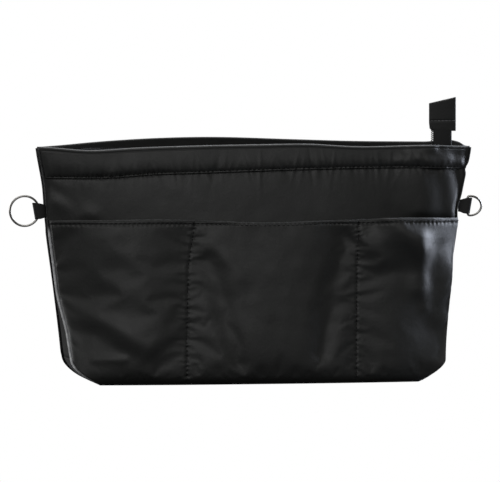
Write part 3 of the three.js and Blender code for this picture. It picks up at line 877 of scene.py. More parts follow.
# %% Pocket cloth
pocket_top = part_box("front_pocket_panel")[1].z
divider_places = [-48 * mm, 62.8 * mm]
pocket_swells = [5.6 * mm, 1.6 * mm, 3.6 * mm]
swell_powers = [1.3, 1.6, 1.6]
swell_drop_share, full_height_share, drop_from_share = 0.86, 0.4, 0.36
pocket_stitch_drop = 2.2 * mm
divider_pitch = 3 * mm
divider_pull, divider_pull_from, divider_lean = 3.2 * mm, 70 * mm, 2 * mm
seam_allowance, seam_reach = 3.0 * mm, 7 * mm
divider_gathers = [(4.6 * mm, 4.2 * mm, 0.6 * mm, 31), (2.7 * mm, 2.6 * mm, 0.4 * mm, 35)]
divider_pit, hem_pit = (1.0 * mm, 0.8 * mm), (0.8 * mm, 0.55 * mm)
hem_gather = (3.4 * mm, 1.8 * mm, 0.25 * mm, 41)


def divider_line(number, z):
    """Where along the length a divider's stitches are at a height."""
    pulled = divider_pull * ease(z, divider_pull_from, pocket_top) if number == 0 else 0
    return divider_places[number] + shift(z) + divider_lean * (z / pocket_top - 0.5) + pulled


def pocket_out(x, z):
    """How far the pocket cloth stands off the wall."""
    edge = half_length(z)
    lines = [-edge + shift(z), divider_line(0, z), divider_line(1, z), edge + shift(z)]
    which = (x > lines[1]).astype(int) + (x > lines[2]).astype(int)
    start = np.choose(which, lines[:3])
    share = np.clip((x - start) / (np.choose(which, lines[1:]) - start), 0, 1)
    swell = np.choose(which, pocket_swells) * np.sin(math.pi * share) ** np.choose(which, swell_powers)
    j = np.clip(z / pocket_top, 0, 1)
    full = np.sin(np.clip(j / full_height_share, 0, 1) * math.pi / 2)
    stood_off = seam_allowance * (1 - np.exp(-z / seam_reach))
    out = cloth_gap + swell * full * mix(1, swell_drop_share, ease(j, drop_from_share, 1)) + stood_off
    for number, line in enumerate(lines[1:3]):
        for *sizes, seed in divider_gathers:
            out = out + puckers(z, x - line, (0, pocket_top), *sizes, seed + number)
        out = out + pits(z, x - line, divider_pitch, *divider_pit)
    hem = z - (pocket_top - pocket_stitch_drop)
    out = out + pits(x, hem, hem_pitch, *hem_pit)
    return out + puckers(x, hem, (-rim_half_length, rim_half_length), *hem_gather)


print("pockets swell by", [round(swell / mm, 1) for swell in pocket_swells], "mm")


# %% Folds of the pockets
mouth_x, mouth_end, mouth_push = 97 * mm, 133 * mm, 6.5 * mm
mouth_fade, mouth_heights = 26 * mm, (68 * mm, 98 * mm)
left_folds = [
    ((-112, 45), (-78, 25), 8, 1.7), ((-98, 94), (-92, 62), 14, 1.6), ((-112, 31), (-66, 10), 8, -1.0),
    ((-110, 17), (-92, 17), 3, 0.8), ((-128, 52), (-122, 18), 6, 0.7),
]
middle_folds = [
    ((-40, 95), (-19, 70), 7, 0.6), ((-36, 78), (-19, 14), 8, -2.4), ((53, 92), (36, 20), 8, -2.8),
]
right_folds = [
    ((58, 102), (77, 78), 6, 1.8), ((82, 106), (104, 84), 7, 2.6), ((103, 92), (101.5, 60), 7, 2.6),
    ((105, 92), (106.5, 48), 4.5, 1.1), ((133, 65), (131, 8), 18, 9),
]


def pocket_folds(x, z):
    """The broad folds of the filled pockets, and the right one's mouth, which is pushed out."""
    total = folded(0, x, z, left_folds + middle_folds + right_folds)
    beyond = np.clip((x - mouth_x) / (mouth_end - mouth_x), 0, 1)
    pushed = np.where(x > mouth_x, 1 - beyond ** 1.4, np.exp(-((mouth_x - x) / mouth_fade) ** 2))
    return total + mouth_push * pushed * ease(z, *mouth_heights)


pocket_edge = [(-1, 0.5), (-0.6, 1.2), (-0.35, 0.8), (0, -1.2), (0.35, 0), (0.65, 1.5), (1, 1)]
edge_inset, pocket_lift, pocket_bed = 0.6 * mm, 0.6 * mm, 0.4 * mm
pocket_crumple, pocket_seed = 0.7 * mm, 51
edge_drop, edge_drop_reach = 0.8 * mm, 1.2 * mm
corner_reach, corner_from, corner_from_share = 1.3 * mm, 84 * mm, 0.9
flat_foot, left_free_share, right_free_share, end_seam_share = 14 * mm, 0.05, 0.016, 0.012


def pocket_rim(u):
    return pocket_top + through(u, pocket_edge)


def pocket_surface(u, z_share):
    """A place on the pocket cloth: u along it, z_share from its bottom seam to its top edge."""
    share = z_share * share_at(FRONT, u, pocket_rim(u), edge_inset, pocket_lift)
    x, z = wall_place(FRONT, u, share, edge_inset, pocket_lift)
    free = ease(1 + u, 0, left_free_share) * ease(1 - u, 0, right_free_share) * ease(z, 0, flat_foot)
    out = cloth_gap + (pocket_out(x, z) - cloth_gap) * ease(1 - np.abs(u), 0, end_seam_share)
    out += (pocket_folds(x, z) + crumple(x, z, pocket_crumple, pocket_seed)) * free
    out -= edge_drop * ease(z, pocket_rim(u) - edge_drop_reach, pocket_rim(u))
    corner = corner_reach * ease(z, corner_from, pocket_top) * ease(u, corner_from_share, 1)
    return x + corner, -(wall_depth(x, z) + pocket_bed + out), z


print("pocket mouth", [round(float(pocket_rim(u)) / mm, 1) for u in (-1, 0, 1)], "mm high from left to right")

# %% The pocket cloth settles
longer_share, pocket_pressure, furthest_move = 0.0055, 0.2, 2.0 * mm
divider_hold, foot_hold, end_hold_share = (0.6 * mm, 2.4 * mm), (2 * mm, 6 * mm), 0.02
# The next line shapes a painted highlight down the pocket's lower left edge beside the seam.
seam_highlight, seam_highlight_share, seam_highlight_low, seam_highlight_high = 0.9, 0.02, (12 * mm, 24 * mm), (62 * mm, 44 * mm)
# The next line's first two values give a painted highlight along the pocket's top edge.
top_edge_highlight, top_edge_highlight_shares, fine_edge_share = 0.22, (0.991, 0.998), 0.965
u, share = grid(200, 60)
smooth_pocket = pocket_surface(u, share)
x, _, z = smooth_pocket
from_seam = np.minimum(np.abs(x - divider_line(0, z)), np.abs(x - divider_line(1, z)))
held = np.maximum(1 - ease(from_seam, *divider_hold), 1 - ease(1 - np.abs(u), 0, end_hold_share))
held = np.maximum(held, 1 - ease(z, *foot_hold))
pocket_moves = settle("pocket_settling", smooth_pocket, held, longer_share, pocket_pressure, furthest_move)


def settled_pocket(u, z_share):
    return moved(pocket_surface(u, z_share), move_at(pocket_moves, u, z_share))


shares = np.concatenate([np.linspace(0, fine_edge_share, 116), np.linspace(fine_edge_share, 1, 14)[1:]])
u, share = np.meshgrid(np.linspace(-1, 1, 384), shares, indexing="ij")
points = settled_pocket(u, share)
# A painted highlight along the pocket's top edge.
top_edge = top_edge_highlight * ease(share, *top_edge_highlight_shares)
# A painted highlight down the pocket's lower left edge beside the seam.
low_left = ease(points[2], *seam_highlight_low) * ease(points[2], *seam_highlight_high)
seam_highlighted = seam_highlight * np.exp(-((1 + u) / seam_highlight_share) ** 2) * low_left
painted_highlight = np.maximum(top_edge, seam_highlighted)
pocket_sheet = 0.5 * mm
sew("pocket_cloth", points, pocket_sheet, nylon, "front_pocket_panel", painted_highlight=painted_highlight)

# %% [markdown]
# Everything else of the body is quieter: the end cloths fold inwards as a wedge, the base cloth is flat
# with rounded ends, and the linings repeat the walls a little further in. They still need their own pieces,
# because each is its own cloth on the real object and any of them may show from some side.

# %% Gussets, base and linings
end_puff, end_crease, end_crumple = 1.2 * mm, 2.0 * mm, 0.4 * mm
puff_top_share, puff_full, crease_from, crease_share, end_half_width = 0.75, 20 * mm, 30 * mm, 0.2, 20 * mm
end_cloth_edge, end_lining_inset, lining_edge = 0.9 * mm, 2.4 * mm, 2.2 * mm
base_edge, floor_inset, lining_bed, lining_crumple = 0.2 * mm, 3 * mm, 0.5 * mm, 0.25 * mm
lining_top_share = 0.985
lining_seed, end_seed, end_lining_seed = 61, 71, 75


def end_surface(end, inset, edge, seed):
    """An end's cloth, folded inwards along its middle as a wedge; v runs across it and t from foot to rim."""
    v, t = np.meshgrid(np.linspace(-1, 1, 28), np.linspace(0, 1, 70), indexing="ij")
    z = mix(base_end_rise, cloth_top, t)
    puff = end_puff * (1 - v * v) * ease(z, cloth_top * puff_top_share, puff_full)
    crease = end_crease * np.exp(-(v / crease_share) ** 2) * ease(z, crease_from, gusset_open_height)
    wave = crumple(v * end_half_width, z, end_crumple, seed) * (1 - v * v)
    drawn = mix(tuck(FRONT, end, z), tuck(BACK, end, z), (1 + v) / 2)
    x = end * (half_length(z) - inset + puff - crease + wave - drawn) + shift(z)
    return back_first(-end, (x, v * (seam_depth(z) - edge), z))


def base_surface(inset, edge):
    """The flat base with its rounded ends, from the back's seam to the front's."""
    u, t = grid(120, 24)
    x, z = base_curve(u, inset + seam_lip, inset)
    half = wall_depth(x, np.maximum(z, 0)) - edge
    return x - u * mix(tuck(BACK, u, z), tuck(FRONT, u, z), t), (1 - 2 * t) * half, z + 0 * t


def wall_lining(side):
    """A wall repeated inside it, up to just under the rim."""
    u, t = grid(120, 50)
    x, z = wall_place(side, u, t * lining_top_share, lining_edge, lining_inset)
    out = crumple(x, z, lining_crumple, lining_seed + side)
    return back_first(side, (x, side * (wall_depth(x, z) - lining_inset - lining_bed + out), z))


for name, end in (("left", -1), ("right", 1)):
    points = end_surface(end, seam_lip, end_cloth_edge, end_seed + end)
    sew(f"{name}_end_cloth", points, outer_sheet, shaded_end_nylon, f"{name}_gusset")
    points = end_surface(end, end_lining_inset, lining_edge, end_lining_seed + end)
    sew(f"{name}_end_lining", points, inner_sheet, lining_cloth, f"{name}_lining")
sew("base_cloth", base_surface(0.0, base_edge), outer_sheet, nylon, "base_panel")
points = base_surface(floor_inset, lining_edge)
sew("floor_lining_cloth", points, inner_sheet, lining_cloth, "floor_lining")
for name, side in (("front", FRONT), ("back", BACK)):
    sew(f"{name}_inner_cloth", wall_lining(side), inner_sheet, lining_cloth, f"{name}_lining")

# %% [markdown]
# Tubes come up often: the bound edges of the seams, the wire rings and the bar of thread at the zip's start.
# A curve with a bevel could make them, but its ends and its changes of thickness are awkward. One function
# sweeps a round section along a path and closes both ends, so every one of them is a closed solid.

# %% A tube along a path
no_path_way = (0.02, 1, 0.01)


def tube(name, path, radius, material, closed=False, sides=10):
    """A round tube along a path, with closed ends; radius is a number or one for each point.

    The section starts square to no_path_way, a direction that none of the paths starts in."""
    path = np.asarray(path, float)
    count = len(path)
    tangent = np.roll(path, -1, 0) - np.roll(path, 1, 0) if closed else np.gradient(path, axis=0)
    tangent /= np.linalg.norm(tangent, axis=1, keepdims=True)
    side = np.cross(tangent[0], no_path_way)
    rings = []
    turn = np.linspace(0, 2 * math.pi, sides, endpoint=False)[:, None]
    for place, direction, thick in zip(path, tangent, np.broadcast_to(radius, count)):
        side = side - direction * np.dot(side, direction)
        side /= np.linalg.norm(side)
        up = np.cross(direction, side)
        rings.append(place + thick * (np.cos(turn) * side + np.sin(turn) * up))
    faces = []
    for i in range(count if closed else count - 1):
        k = (i + 1) % count
        for j in range(sides):
            m = (j + 1) % sides
            faces.append((i * sides + j, i * sides + m, k * sides + m, k * sides + j))
    if not closed:
        faces.append(tuple(range(sides))[::-1])
        faces.append(tuple((count - 1) * sides + j for j in range(sides)))
    mesh = bpy.data.meshes.new(name)
    mesh.from_pydata(np.concatenate(rings).tolist(), [], faces)
    mesh.polygons.foreach_set("use_smooth", [True] * len(mesh.polygons))
    mesh.uv_layers.new(name="cloth")
    mesh.materials.append(material)
    obj = bpy.data.objects.new(name, mesh)
    scene.collection.objects.link(obj)
    return obj


def stand_for(obj, body, *nodes):
    """Hides the solids that a piece stands for, attaches it to the body it rides on and prints its faces."""
    if nodes:
        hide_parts(*nodes)
    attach(obj, body)
    print(obj.name, len(obj.data.polygons), "faces on", body)
    return obj


# %% [markdown]
# Each seam between a wall and the end cloths is a thin bound edge that reads as one light line down the
# left side. It runs from the rim down an end, along the bottom edge and up the other end. Its path is the
# wall's own edge, so it can't drift off the cloth. It is thicker down the left end, and the front's one has
# a painted highlight there: its colour is painted near white where light catches it.

# %% Seam edges
# Where the front seam's edge is thicker and painted pale, as a painted highlight.
pale_from, pale_fade, pale_to = 101 * mm, 5 * mm, 6 * mm
edge_radius, pale_edge_radius, edge_lift, edge_sides = 0.5 * mm, 0.8 * mm, 0.7 * mm, 8
end_steps, bottom_steps = 89, 240


def seam_edge(side):
    """The path down one end, along the bottom edge and up the other end."""
    down = np.linspace(1, 0, end_steps + 1)[:-1]
    along = np.linspace(-1, 1, bottom_steps)
    u = np.concatenate([np.full(end_steps, -1.0), along, np.full(end_steps, 1.0)])
    t = np.concatenate([down, np.zeros(bottom_steps), down[::-1]])
    x, z = wall_place(side, u, t, 0.0, edge_lift)
    y = side * (wall_depth(x, z) + edge_radius)
    return np.stack([x, y, z], axis=-1)


for name, side in (("front", FRONT), ("back", BACK)):
    path = seam_edge(side)
    height = path[:, 2]
    pale = ease(height, pale_from, pale_from - pale_fade) * ease(height, 0, pale_to) * (path[:, 0] < 0)
    radius = mix(edge_radius, pale_edge_radius, pale)
    edge = tube(f"{name}_seam_edge", path, radius, edge_cloth, sides=edge_sides)
    # The painted highlight: the front edge's pale stretch mixes towards the near-white colour.
    highlight_attribute = edge.data.attributes.new("painted_highlight", "FLOAT", "POINT")
    highlight_attribute.data.foreach_set("value", np.repeat(pale * (side == FRONT), edge_sides))
    stand_for(edge, "bag", f"{name}_seam_binding")

# %% [markdown]
# The ring and the D-ring are bent from polished wire, so a round section and a smooth path are the whole
# shape. Both hang in a loop of webbing: a strap that leaves the seam, goes round the wire and returns.
# The loop is pinched where it leaves the seam and spreads to full width at the wire. The left strap is
# not attached to the bag; it keeps its place in the world.

# %% Rings
wire_sides, d_corner = 14, 1.6 * mm


def ring_path(centre, radius):
    turn = np.linspace(0, 2 * math.pi, 96, endpoint=False)
    return np.stack([centre.x + radius * np.cos(turn), 0 * turn, centre.z + radius * np.sin(turn)], axis=-1)


def d_ring_path(low, high, wire, corner):
    """A straight bar with a round corner at each end and a bow between them."""
    x0, x1, z0, z1 = low.x + wire, high.x - wire, low.z + wire, high.z - wire
    middle, half = (z0 + z1) / 2, (z1 - z0) / 2
    bow = np.linspace(-math.pi / 2, math.pi / 2, 60)
    arc_x = x0 + corner + (x1 - x0 - corner) * np.cos(bow)
    arc_z = middle + half * np.sin(bow)
    bend = np.linspace(math.pi / 2, math.pi, 10)[1:]
    top_x, top_z = x0 + corner + corner * np.cos(bend), z1 - corner + corner * np.sin(bend)
    bar = np.linspace(z1 - corner, z0 + corner, 16)[1:-1]
    x = np.concatenate([arc_x, top_x, np.full(len(bar), x0), top_x[::-1]])
    z = np.concatenate([arc_z, top_z, bar, 2 * middle - top_z[::-1]])
    return np.stack([x, 0 * x, z], axis=-1)


ring_low, ring_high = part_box("left_ring")
d_low, d_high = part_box("right_d_ring")
wire = (ring_high.y - ring_low.y) / 2
ring_centre = (ring_low + ring_high) / 2
ring_radius = (ring_high.z - ring_low.z) / 2 - wire
ring_wire = tube("left_ring_wire", ring_path(ring_centre, ring_radius), wire, steel, True, wire_sides)
stand_for(ring_wire, "ring", "left_ring")
d_path = d_ring_path(d_low, d_high, wire, d_corner)
d_wire = tube("right_d_ring_wire", d_path, wire, steel, True, wire_sides)
stand_for(d_wire, "d_ring", "right_d_ring")

# %% Loops
strap_thickness, strap_inset, strap_half_gap, lean_out = 1.0 * mm, 1.5 * mm, 1.2 * mm, 0.9 * mm
wire_gap, strap_turned = 0.4 * mm, 0.6 * mm
strap_waist_share, strap_spread_share = 0.76, 1.03


def loop_surface(end, low, high, wire_x, loose):
    """The strap in plan, from the seam, loosely round the wire and back, swept over its width.

    It is waisted at the seam, and its outer end leans, because the ring hangs in it."""
    s, w = grid(70, 24)
    round_radius = wire + wire_gap + strap_thickness
    seam_x = min(abs(low.x), abs(high.x)) - strap_inset
    straight = abs(wire_x) + loose - seam_x
    arc = math.pi * round_radius
    place = (s + 1) / 2 * (2 * straight + arc)
    turn = np.clip((place - straight) / arc, 0, 1) * math.pi - math.pi / 2
    reach = np.minimum(place, 2 * straight + arc - place)
    near_seam = reach < straight
    flat_y = np.sign(place - straight - arc / 2) * mix(strap_half_gap, round_radius, ease(reach, 0, straight))
    x = np.where(near_seam, seam_x + reach, seam_x + straight + round_radius * np.cos(turn))
    y = np.where(near_seam, flat_y, round_radius * np.sin(turn))
    spread = ease(x, seam_x, seam_x + straight)
    half = (high.z - low.z) / 2 * mix(strap_waist_share, strap_spread_share, spread)
    z = (low.z + high.z) / 2 + (2 * w - 1) * half
    return back_first(-end, (end * (x + lean_out * (2 * w - 1) * spread), y, z))


left_wire_x, right_wire_x = ring_high.x - wire, d_low.x + wire
left_loose, right_loose = 1.6 * mm, 0.2 * mm
bend_inward, bend_outward = 4.5 * mm, 0.3 * mm
bend_start = (left_wire_x + bend_inward, 0, ring_centre.z)
bend_end = (left_wire_x - bend_outward, 0, ring_centre.z)
ring_bend = ("ring", bend_start, bend_end)
loops = [("left", -1, left_wire_x, left_loose, ring_bend), ("right", 1, right_wire_x, right_loose, None)]
for name, end, wire_x, loose, bend in loops:
    points = loop_surface(end, *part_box(f"{name}_loop"), wire_x, loose)
    strap = f"{name}_loop_strap"
    sew(strap, points, strap_thickness, webbing, f"{name}_loop", strap_turned, bend=bend)

# %% [markdown]
# The zip is open inside the rim. Each half is a woven tape with a coil on its upper edge. The tapes part
# along the mouth, meet at the slider, leave the mouth and turn up into the tail that shows above the rim.
# Only the tail's neck crosses a hinge, so it is one piece of its own, attached to neither body nor tail.

# %% Zip path
tab_low, tab_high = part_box("zip_tail_tab")
slider_low, slider_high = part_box("zip_slider")
pull_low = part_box("zip_pull")[0]
tape_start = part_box("front_zip_tape")[0].x
tape_width, tape_thickness, coil_radius = 12 * mm, 0.5 * mm, 0.65 * mm
slider_post_half, tape_clearance = 0.8 * mm, 0.75 * mm
joined_side = coil_radius + cloth_gap / 2
slider_side = slider_post_half + cloth_gap + coil_radius
tail_x = (tab_low.x + tab_high.x) / 2
tail_bend = 18 * mm
tail_rise, tape_drop, sink_share = 1 * mm, 8.5 * mm, 0.86
corner_height = cloth_top + tail_rise
wall_tape_height = corner_height - tape_drop
tail_low = corner_height - tail_bend
sink_x = mix(tape_start, pull_low.x, sink_share)
coil_offset = tape_width / 2 + cloth_gap + coil_radius


def tape_side(x):
    """Half the distance between the two tapes at a place along the mouth."""
    inner = wall_depth(x, np.full_like(x, corner_height)) - band_inset - tape_clearance - coil_radius
    near = mix(inner, slider_side, ease(x, pull_low.x, slider_low.x))
    return mix(near, joined_side, ease(x, slider_high.x, tail_x - tail_bend))


def tape_frames(steps=150, bend_steps=24):
    """Places along the zip, the way across the tape at each, and half the distance between the tapes."""
    x = np.linspace(tape_start, tail_x - tail_bend, steps)
    z = mix(wall_tape_height, tail_low, ease(x, sink_x, pull_low.x))
    turn = np.linspace(0, math.pi / 2, bend_steps + 1)[1:]
    bend_x = tail_x - tail_bend + tail_bend * np.sin(turn)
    bend_z = corner_height - tail_bend * np.cos(turn)
    place = np.stack([np.concatenate([x, bend_x]), np.concatenate([z, bend_z])], axis=-1)
    turns = np.concatenate([np.zeros(steps), turn])
    across = np.stack([-np.sin(turns), np.cos(turns)], axis=-1)
    side = np.concatenate([tape_side(x), np.full(bend_steps, joined_side)])
    return place, across, side


def tape_surface(side, rows=10):
    place, across, half = tape_frames()
    v = np.linspace(-0.5, 0.5, rows) * tape_width
    x = place[:, :1] + across[:, :1] * v
    z = place[:, 1:] + across[:, 1:] * v
    return back_first(side, (x, side * np.repeat(half[:, None], rows, 1), z))


def coil_path(side):
    place, across, half = tape_frames()
    middle = place + across * coil_offset
    return np.stack([middle[:, 0], side * half, middle[:, 1]], axis=-1)


for name, side in (("front", FRONT), ("back", BACK)):
    sew(f"{name}_tape_cloth", tape_surface(side), tape_thickness, tape_cloth, f"{name}_zip_tape")

# %% [markdown]
# Stitches and coil turns repeat by the hundred, which is work for Geometry Nodes. Both groups read a line
# of points, space places evenly along it and put one stitch or one turn at each. The pitch and the sizes
# are named inputs, the slight unevenness has a fixed seed, and the result is taken as a plain mesh.

# %% Geometry Nodes groups for stitches and coil turns
def geometry_group(name, floats):
    group = bpy.data.node_groups.new(name, "GeometryNodeTree")
    group.interface.new_socket("Geometry", in_out="INPUT", socket_type="NodeSocketGeometry")
    for label, value in floats:
        socket = group.interface.new_socket(label, in_out="INPUT", socket_type="NodeSocketFloat")
        socket.default_value = value
    group.interface.new_socket("Material", in_out="INPUT", socket_type="NodeSocketMaterial")
    group.interface.new_socket("Geometry", in_out="OUTPUT", socket_type="NodeSocketGeometry")
    return group, group.nodes.new("NodeGroupInput"), group.nodes.new("NodeGroupOutput")


def wire_up(group, *links):
    for start, end in links:
        group.links.new(start, end)


def spaced_points(group, source):
    """Even points along the lines of the incoming mesh, each with its direction and turn."""
    curve = group.nodes.new("GeometryNodeMeshToCurve")
    points = group.nodes.new("GeometryNodeCurveToPoints")
    points.mode = "LENGTH"
    wire_up(
        group,
        (source.outputs["Geometry"], curve.inputs[0]),
        (curve.outputs[0], points.inputs["Curve"]),
        (source.outputs["Pitch"], points.inputs["Length"]),
    )
    return points


def finish_group(group, source, result, geometry):
    """Realizes the instances, which the export would drop, and gives them their material."""
    realize = group.nodes.new("GeometryNodeRealizeInstances")
    finish = group.nodes.new("GeometryNodeSetMaterial")
    wire_up(
        group,
        (geometry, realize.inputs[0]),
        (realize.outputs[0], finish.inputs["Geometry"]),
        (source.outputs["Material"], finish.inputs["Material"]),
        (finish.outputs[0], result.inputs[0]),
    )


print("two groups follow; the walls' stitches have a pitch of", round(hem_pitch / mm, 1), "mm")


# %% One stitch on every pitch
ball_sides = 8
wobble_low, wobble_high, wobble_seed = (0.85, 0.8, 0.8), (1.1, 1.15, 1.15), 5


def stitch_group():
    """A rounded stitch, thick in the middle, whose ends dive into the cloth."""
    sizes = [("Pitch", 3 * mm), ("Stitch length", 2.1 * mm), ("Thread radius", 0.2 * mm)]
    group, source, result = geometry_group("Stitch row", sizes)
    points = spaced_points(group, source)
    ball = group.nodes.new("GeometryNodeMeshUVSphere")
    ball.inputs["Segments"].default_value = ball_sides
    ball.inputs["Rings"].default_value = ball_sides
    ball.inputs["Radius"].default_value = 1.0
    scale = group.nodes.new("ShaderNodeCombineXYZ")
    half = maths(group, "MULTIPLY", source.outputs["Stitch length"], 0.5)
    shape = group.nodes.new("GeometryNodeTransform")
    smooth = group.nodes.new("GeometryNodeSetShadeSmooth")
    place = group.nodes.new("GeometryNodeInstanceOnPoints")
    align = group.nodes.new("FunctionNodeAlignRotationToVector")
    align.axis = "X"
    wobble = group.nodes.new("FunctionNodeRandomValue")
    wobble.data_type = "FLOAT_VECTOR"
    wobble.inputs["Min"].default_value = wobble_low
    wobble.inputs["Max"].default_value = wobble_high
    wobble.inputs["Seed"].default_value = wobble_seed
    wire_up(
        group,
        (half, scale.inputs["X"]),
        (source.outputs["Thread radius"], scale.inputs["Y"]),
        (source.outputs["Thread radius"], scale.inputs["Z"]),
        (ball.outputs["Mesh"], shape.inputs["Geometry"]),
        (scale.outputs[0], shape.inputs["Scale"]),
        (shape.outputs[0], smooth.inputs["Geometry"]),
        (points.outputs["Points"], place.inputs["Points"]),
        (points.outputs["Tangent"], align.inputs["Vector"]),
        (align.outputs[0], place.inputs["Rotation"]),
        (wobble.outputs["Value"], place.inputs["Scale"]),
        (smooth.outputs[0], place.inputs["Instance"]),
    )
    finish_group(group, source, result, place.outputs[0])
    return group


stitches = stitch_group()
print("stitch group has", len(stitches.nodes), "nodes")


# %% One turn of the coil on every pitch
def coil_group():
    """One turn of filament at each place, so that the turns join into a coil."""
    sizes = [("Pitch", 1.2 * mm), ("Coil radius", 0.5 * mm), ("Filament radius", 0.16 * mm)]
    group, source, result = geometry_group("Coil turns", sizes)
    points = spaced_points(group, source)
    turn = group.nodes.new("GeometryNodeCurveSpiral")
    turn.inputs["Resolution"].default_value = 12
    turn.inputs["Rotations"].default_value = 1.0
    section = group.nodes.new("GeometryNodeCurvePrimitiveCircle")
    section.inputs["Resolution"].default_value = 6
    sweep = group.nodes.new("GeometryNodeCurveToMesh")
    smooth = group.nodes.new("GeometryNodeSetShadeSmooth")
    place = group.nodes.new("GeometryNodeInstanceOnPoints")
    wire_up(
        group,
        (source.outputs["Pitch"], turn.inputs["Height"]),
        (source.outputs["Coil radius"], turn.inputs["Start Radius"]),
        (source.outputs["Coil radius"], turn.inputs["End Radius"]),
        (source.outputs["Filament radius"], section.inputs["Radius"]),
        (turn.outputs[0], sweep.inputs["Curve"]),
        (section.outputs[0], sweep.inputs["Profile Curve"]),
        (sweep.outputs[0], smooth.inputs["Geometry"]),
        (points.outputs["Points"], place.inputs["Points"]),
        (points.outputs["Rotation"], place.inputs["Rotation"]),
        (smooth.outputs[0], place.inputs["Instance"]),
    )
    finish_group(group, source, result, place.outputs[0])
    return group


coils = coil_group()
print("coil group has", len(coils.nodes), "nodes")


# %% Lines for the groups
def line_object(name, paths):
    """An object with only edges, one chain for each path."""
    points, edges = [], []
    for path in paths:
        first = len(points)
        points += [tuple(p) for p in np.asarray(path)]
        edges += [(first + i, first + i + 1) for i in range(len(path) - 1)]
    mesh = bpy.data.meshes.new(name)
    mesh.from_pydata(points, edges, [])
    obj = bpy.data.objects.new(name, mesh)
    scene.collection.objects.link(obj)
    return obj


def repeat_along(name, paths, group, material, **sizes):
    """Runs a group along lines and keeps the result as a plain mesh."""
    obj = line_object(name, paths)
    modifier = obj.modifiers.new("repeat", "NODES")
    modifier.node_group = group
    wanted = {label.replace("_", " "): value for label, value in sizes.items()} | {"Material": material}
    for item in group.interface.items_tree:
        if item.in_out == "INPUT" and item.name in wanted:
            modifier[item.identifier] = wanted[item.name]
    plain(obj)
    obj.data.uv_layers.new(name="cloth")
    return obj


inputs = [item.name for item in coils.interface.items_tree if item.in_out == "INPUT"]
print("inputs of the coil group:", ", ".join(inputs))

# %% [markdown]
# Rows of stitches follow the cloths themselves, so each row is read from the same surface functions and
# lies a little above the pits that it pulls. They are the rows of both rim bands, of the pocket's hem and
# of its two dividers. The tail brings its own rows later, and the coils lie along the zip's path.

# %% Stitch rows
def on_surface(surface, u, v, lift, side=FRONT):
    x, y, z = surface(u, v)
    return np.stack([x, y + side * lift, z], axis=-1)


lift, row_points, divider_points, halvings = 0.12 * mm, 900, 300, 24
row_foot_share, row_end_share = 0.02, 0.985
u_line = np.linspace(-row_end_share, row_end_share, row_points)
z_line = np.linspace(row_foot_share, row_end_share, divider_points)
band_line = np.full(row_points, outer_share * stitch_low / band_height)
hem_share = np.full(row_points, (pocket_top - pocket_stitch_drop) / pocket_top)
rows = []
for side in (FRONT, BACK):
    rows.append(on_surface(partial(band_surface, side), u_line, band_line, lift, side))
rows.append(on_surface(settled_pocket, u_line, hem_share, lift))


def divider_row(number):
    """The pocket cloth's points along a divider: the u of each height is found by halving."""
    low_u, high_u = np.full(divider_points, -1.0), np.full(divider_points, 1.0)
    for _ in range(halvings):
        u = (low_u + high_u) / 2
        x, _, z = pocket_surface(u, z_line)
        left = x < divider_line(number, z)
        low_u, high_u = np.where(left, u, low_u), np.where(left, high_u, u)
    return on_surface(settled_pocket, u, z_line, lift)


rows += [divider_row(0), divider_row(1)]
seams = stand_for(repeat_along("body_stitches", rows, stitches, thread, Pitch=hem_pitch), "bag")

# %% Coils
for name, side in (("front", FRONT), ("back", BACK)):
    coil = repeat_along(f"{name}_coil_turns", [coil_path(side)], coils, coil_plastic)
    stand_for(coil, "bag", f"{name}_zip_coil")

# %% [markdown]
# The tail is the zip's end, sewn into a folded tab of rim cloth. The tab is a flat padded pocket with a
# slanting top: two faces that meet at rounded edges, with a hem line a third of the way up. The neck below
# it is the two joined tapes, and the hinge lies across it.

# %% Tail
neck_gap, neck_in_tab, neck_bow, hinge_reach = 0.2 * mm, 2 * mm, 0.25 * mm, 2.5 * mm
neck_low = corner_height + neck_gap
neck_high = tab_low.z + neck_in_tab


def neck_surface(side):
    u, t = grid(12, 30)
    z = mix(neck_low, neck_high, t)
    bow = neck_bow * np.cos(u * math.pi / 2)
    return back_first(side, (tail_x + u * tape_width / 2, side * (joined_side + bow), z))


def bend_with_tail(obj):
    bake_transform(obj)


neck_points = [neck_surface(side) for side in (FRONT, BACK)]
necks = [cloth_mesh(f"neck_{i}", *p, tape_thickness) for i, p in enumerate(neck_points)]


def join(name, parts, material):
    """One mesh object of several, with one material."""
    for part in parts:
        part.select_set(True)
    bpy.context.view_layer.objects.active = parts[0]
    with bpy.context.temp_override(active_object=parts[0], selected_editable_objects=parts):
        bpy.ops.object.join()
    parts[0].name = name
    parts[0].data.name = name
    parts[0].data.materials.clear()
    parts[0].data.materials.append(material)
    return parts[0]


neck = join("tail_neck_cloth", necks, tape_cloth)
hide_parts("zip_tail_neck")
bend_with_tail(neck)

coil_lines = []
for side in (FRONT, BACK):
    z = np.linspace(neck_low, neck_high, 24)
    coil_lines.append(np.stack([0 * z + tail_x - coil_offset, 0 * z + side * joined_side, z], axis=-1))
neck_coil = repeat_along("tail_coil_turns", coil_lines, coils, coil_plastic)
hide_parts("zip_tail_coil")
bend_with_tail(neck_coil)

# %% Tab of the tail
tab_hem_height, tab_hem_width, tab_hem_share = 6.6 * mm, 0.5 * mm, 0.35
tab_slant_share, tab_end_narrow_share, tab_edge_thin_share, tab_foot_thick_share = 4 / 22, 0.985, 0.3, 0.86
tab_waists = [(0.05, 0.35), (0.16, 0.1)]
tab_foot_round, tab_top_round, round_from = 0.035, 0.03, -0.004
tab_stitch_inset, tab_stitch_out = 1.8 * mm, 1.0 * mm
tab_stitch = {"Pitch": 2.2 * mm, "Stitch_length": 2.4 * mm, "Thread_radius": 0.28 * mm}


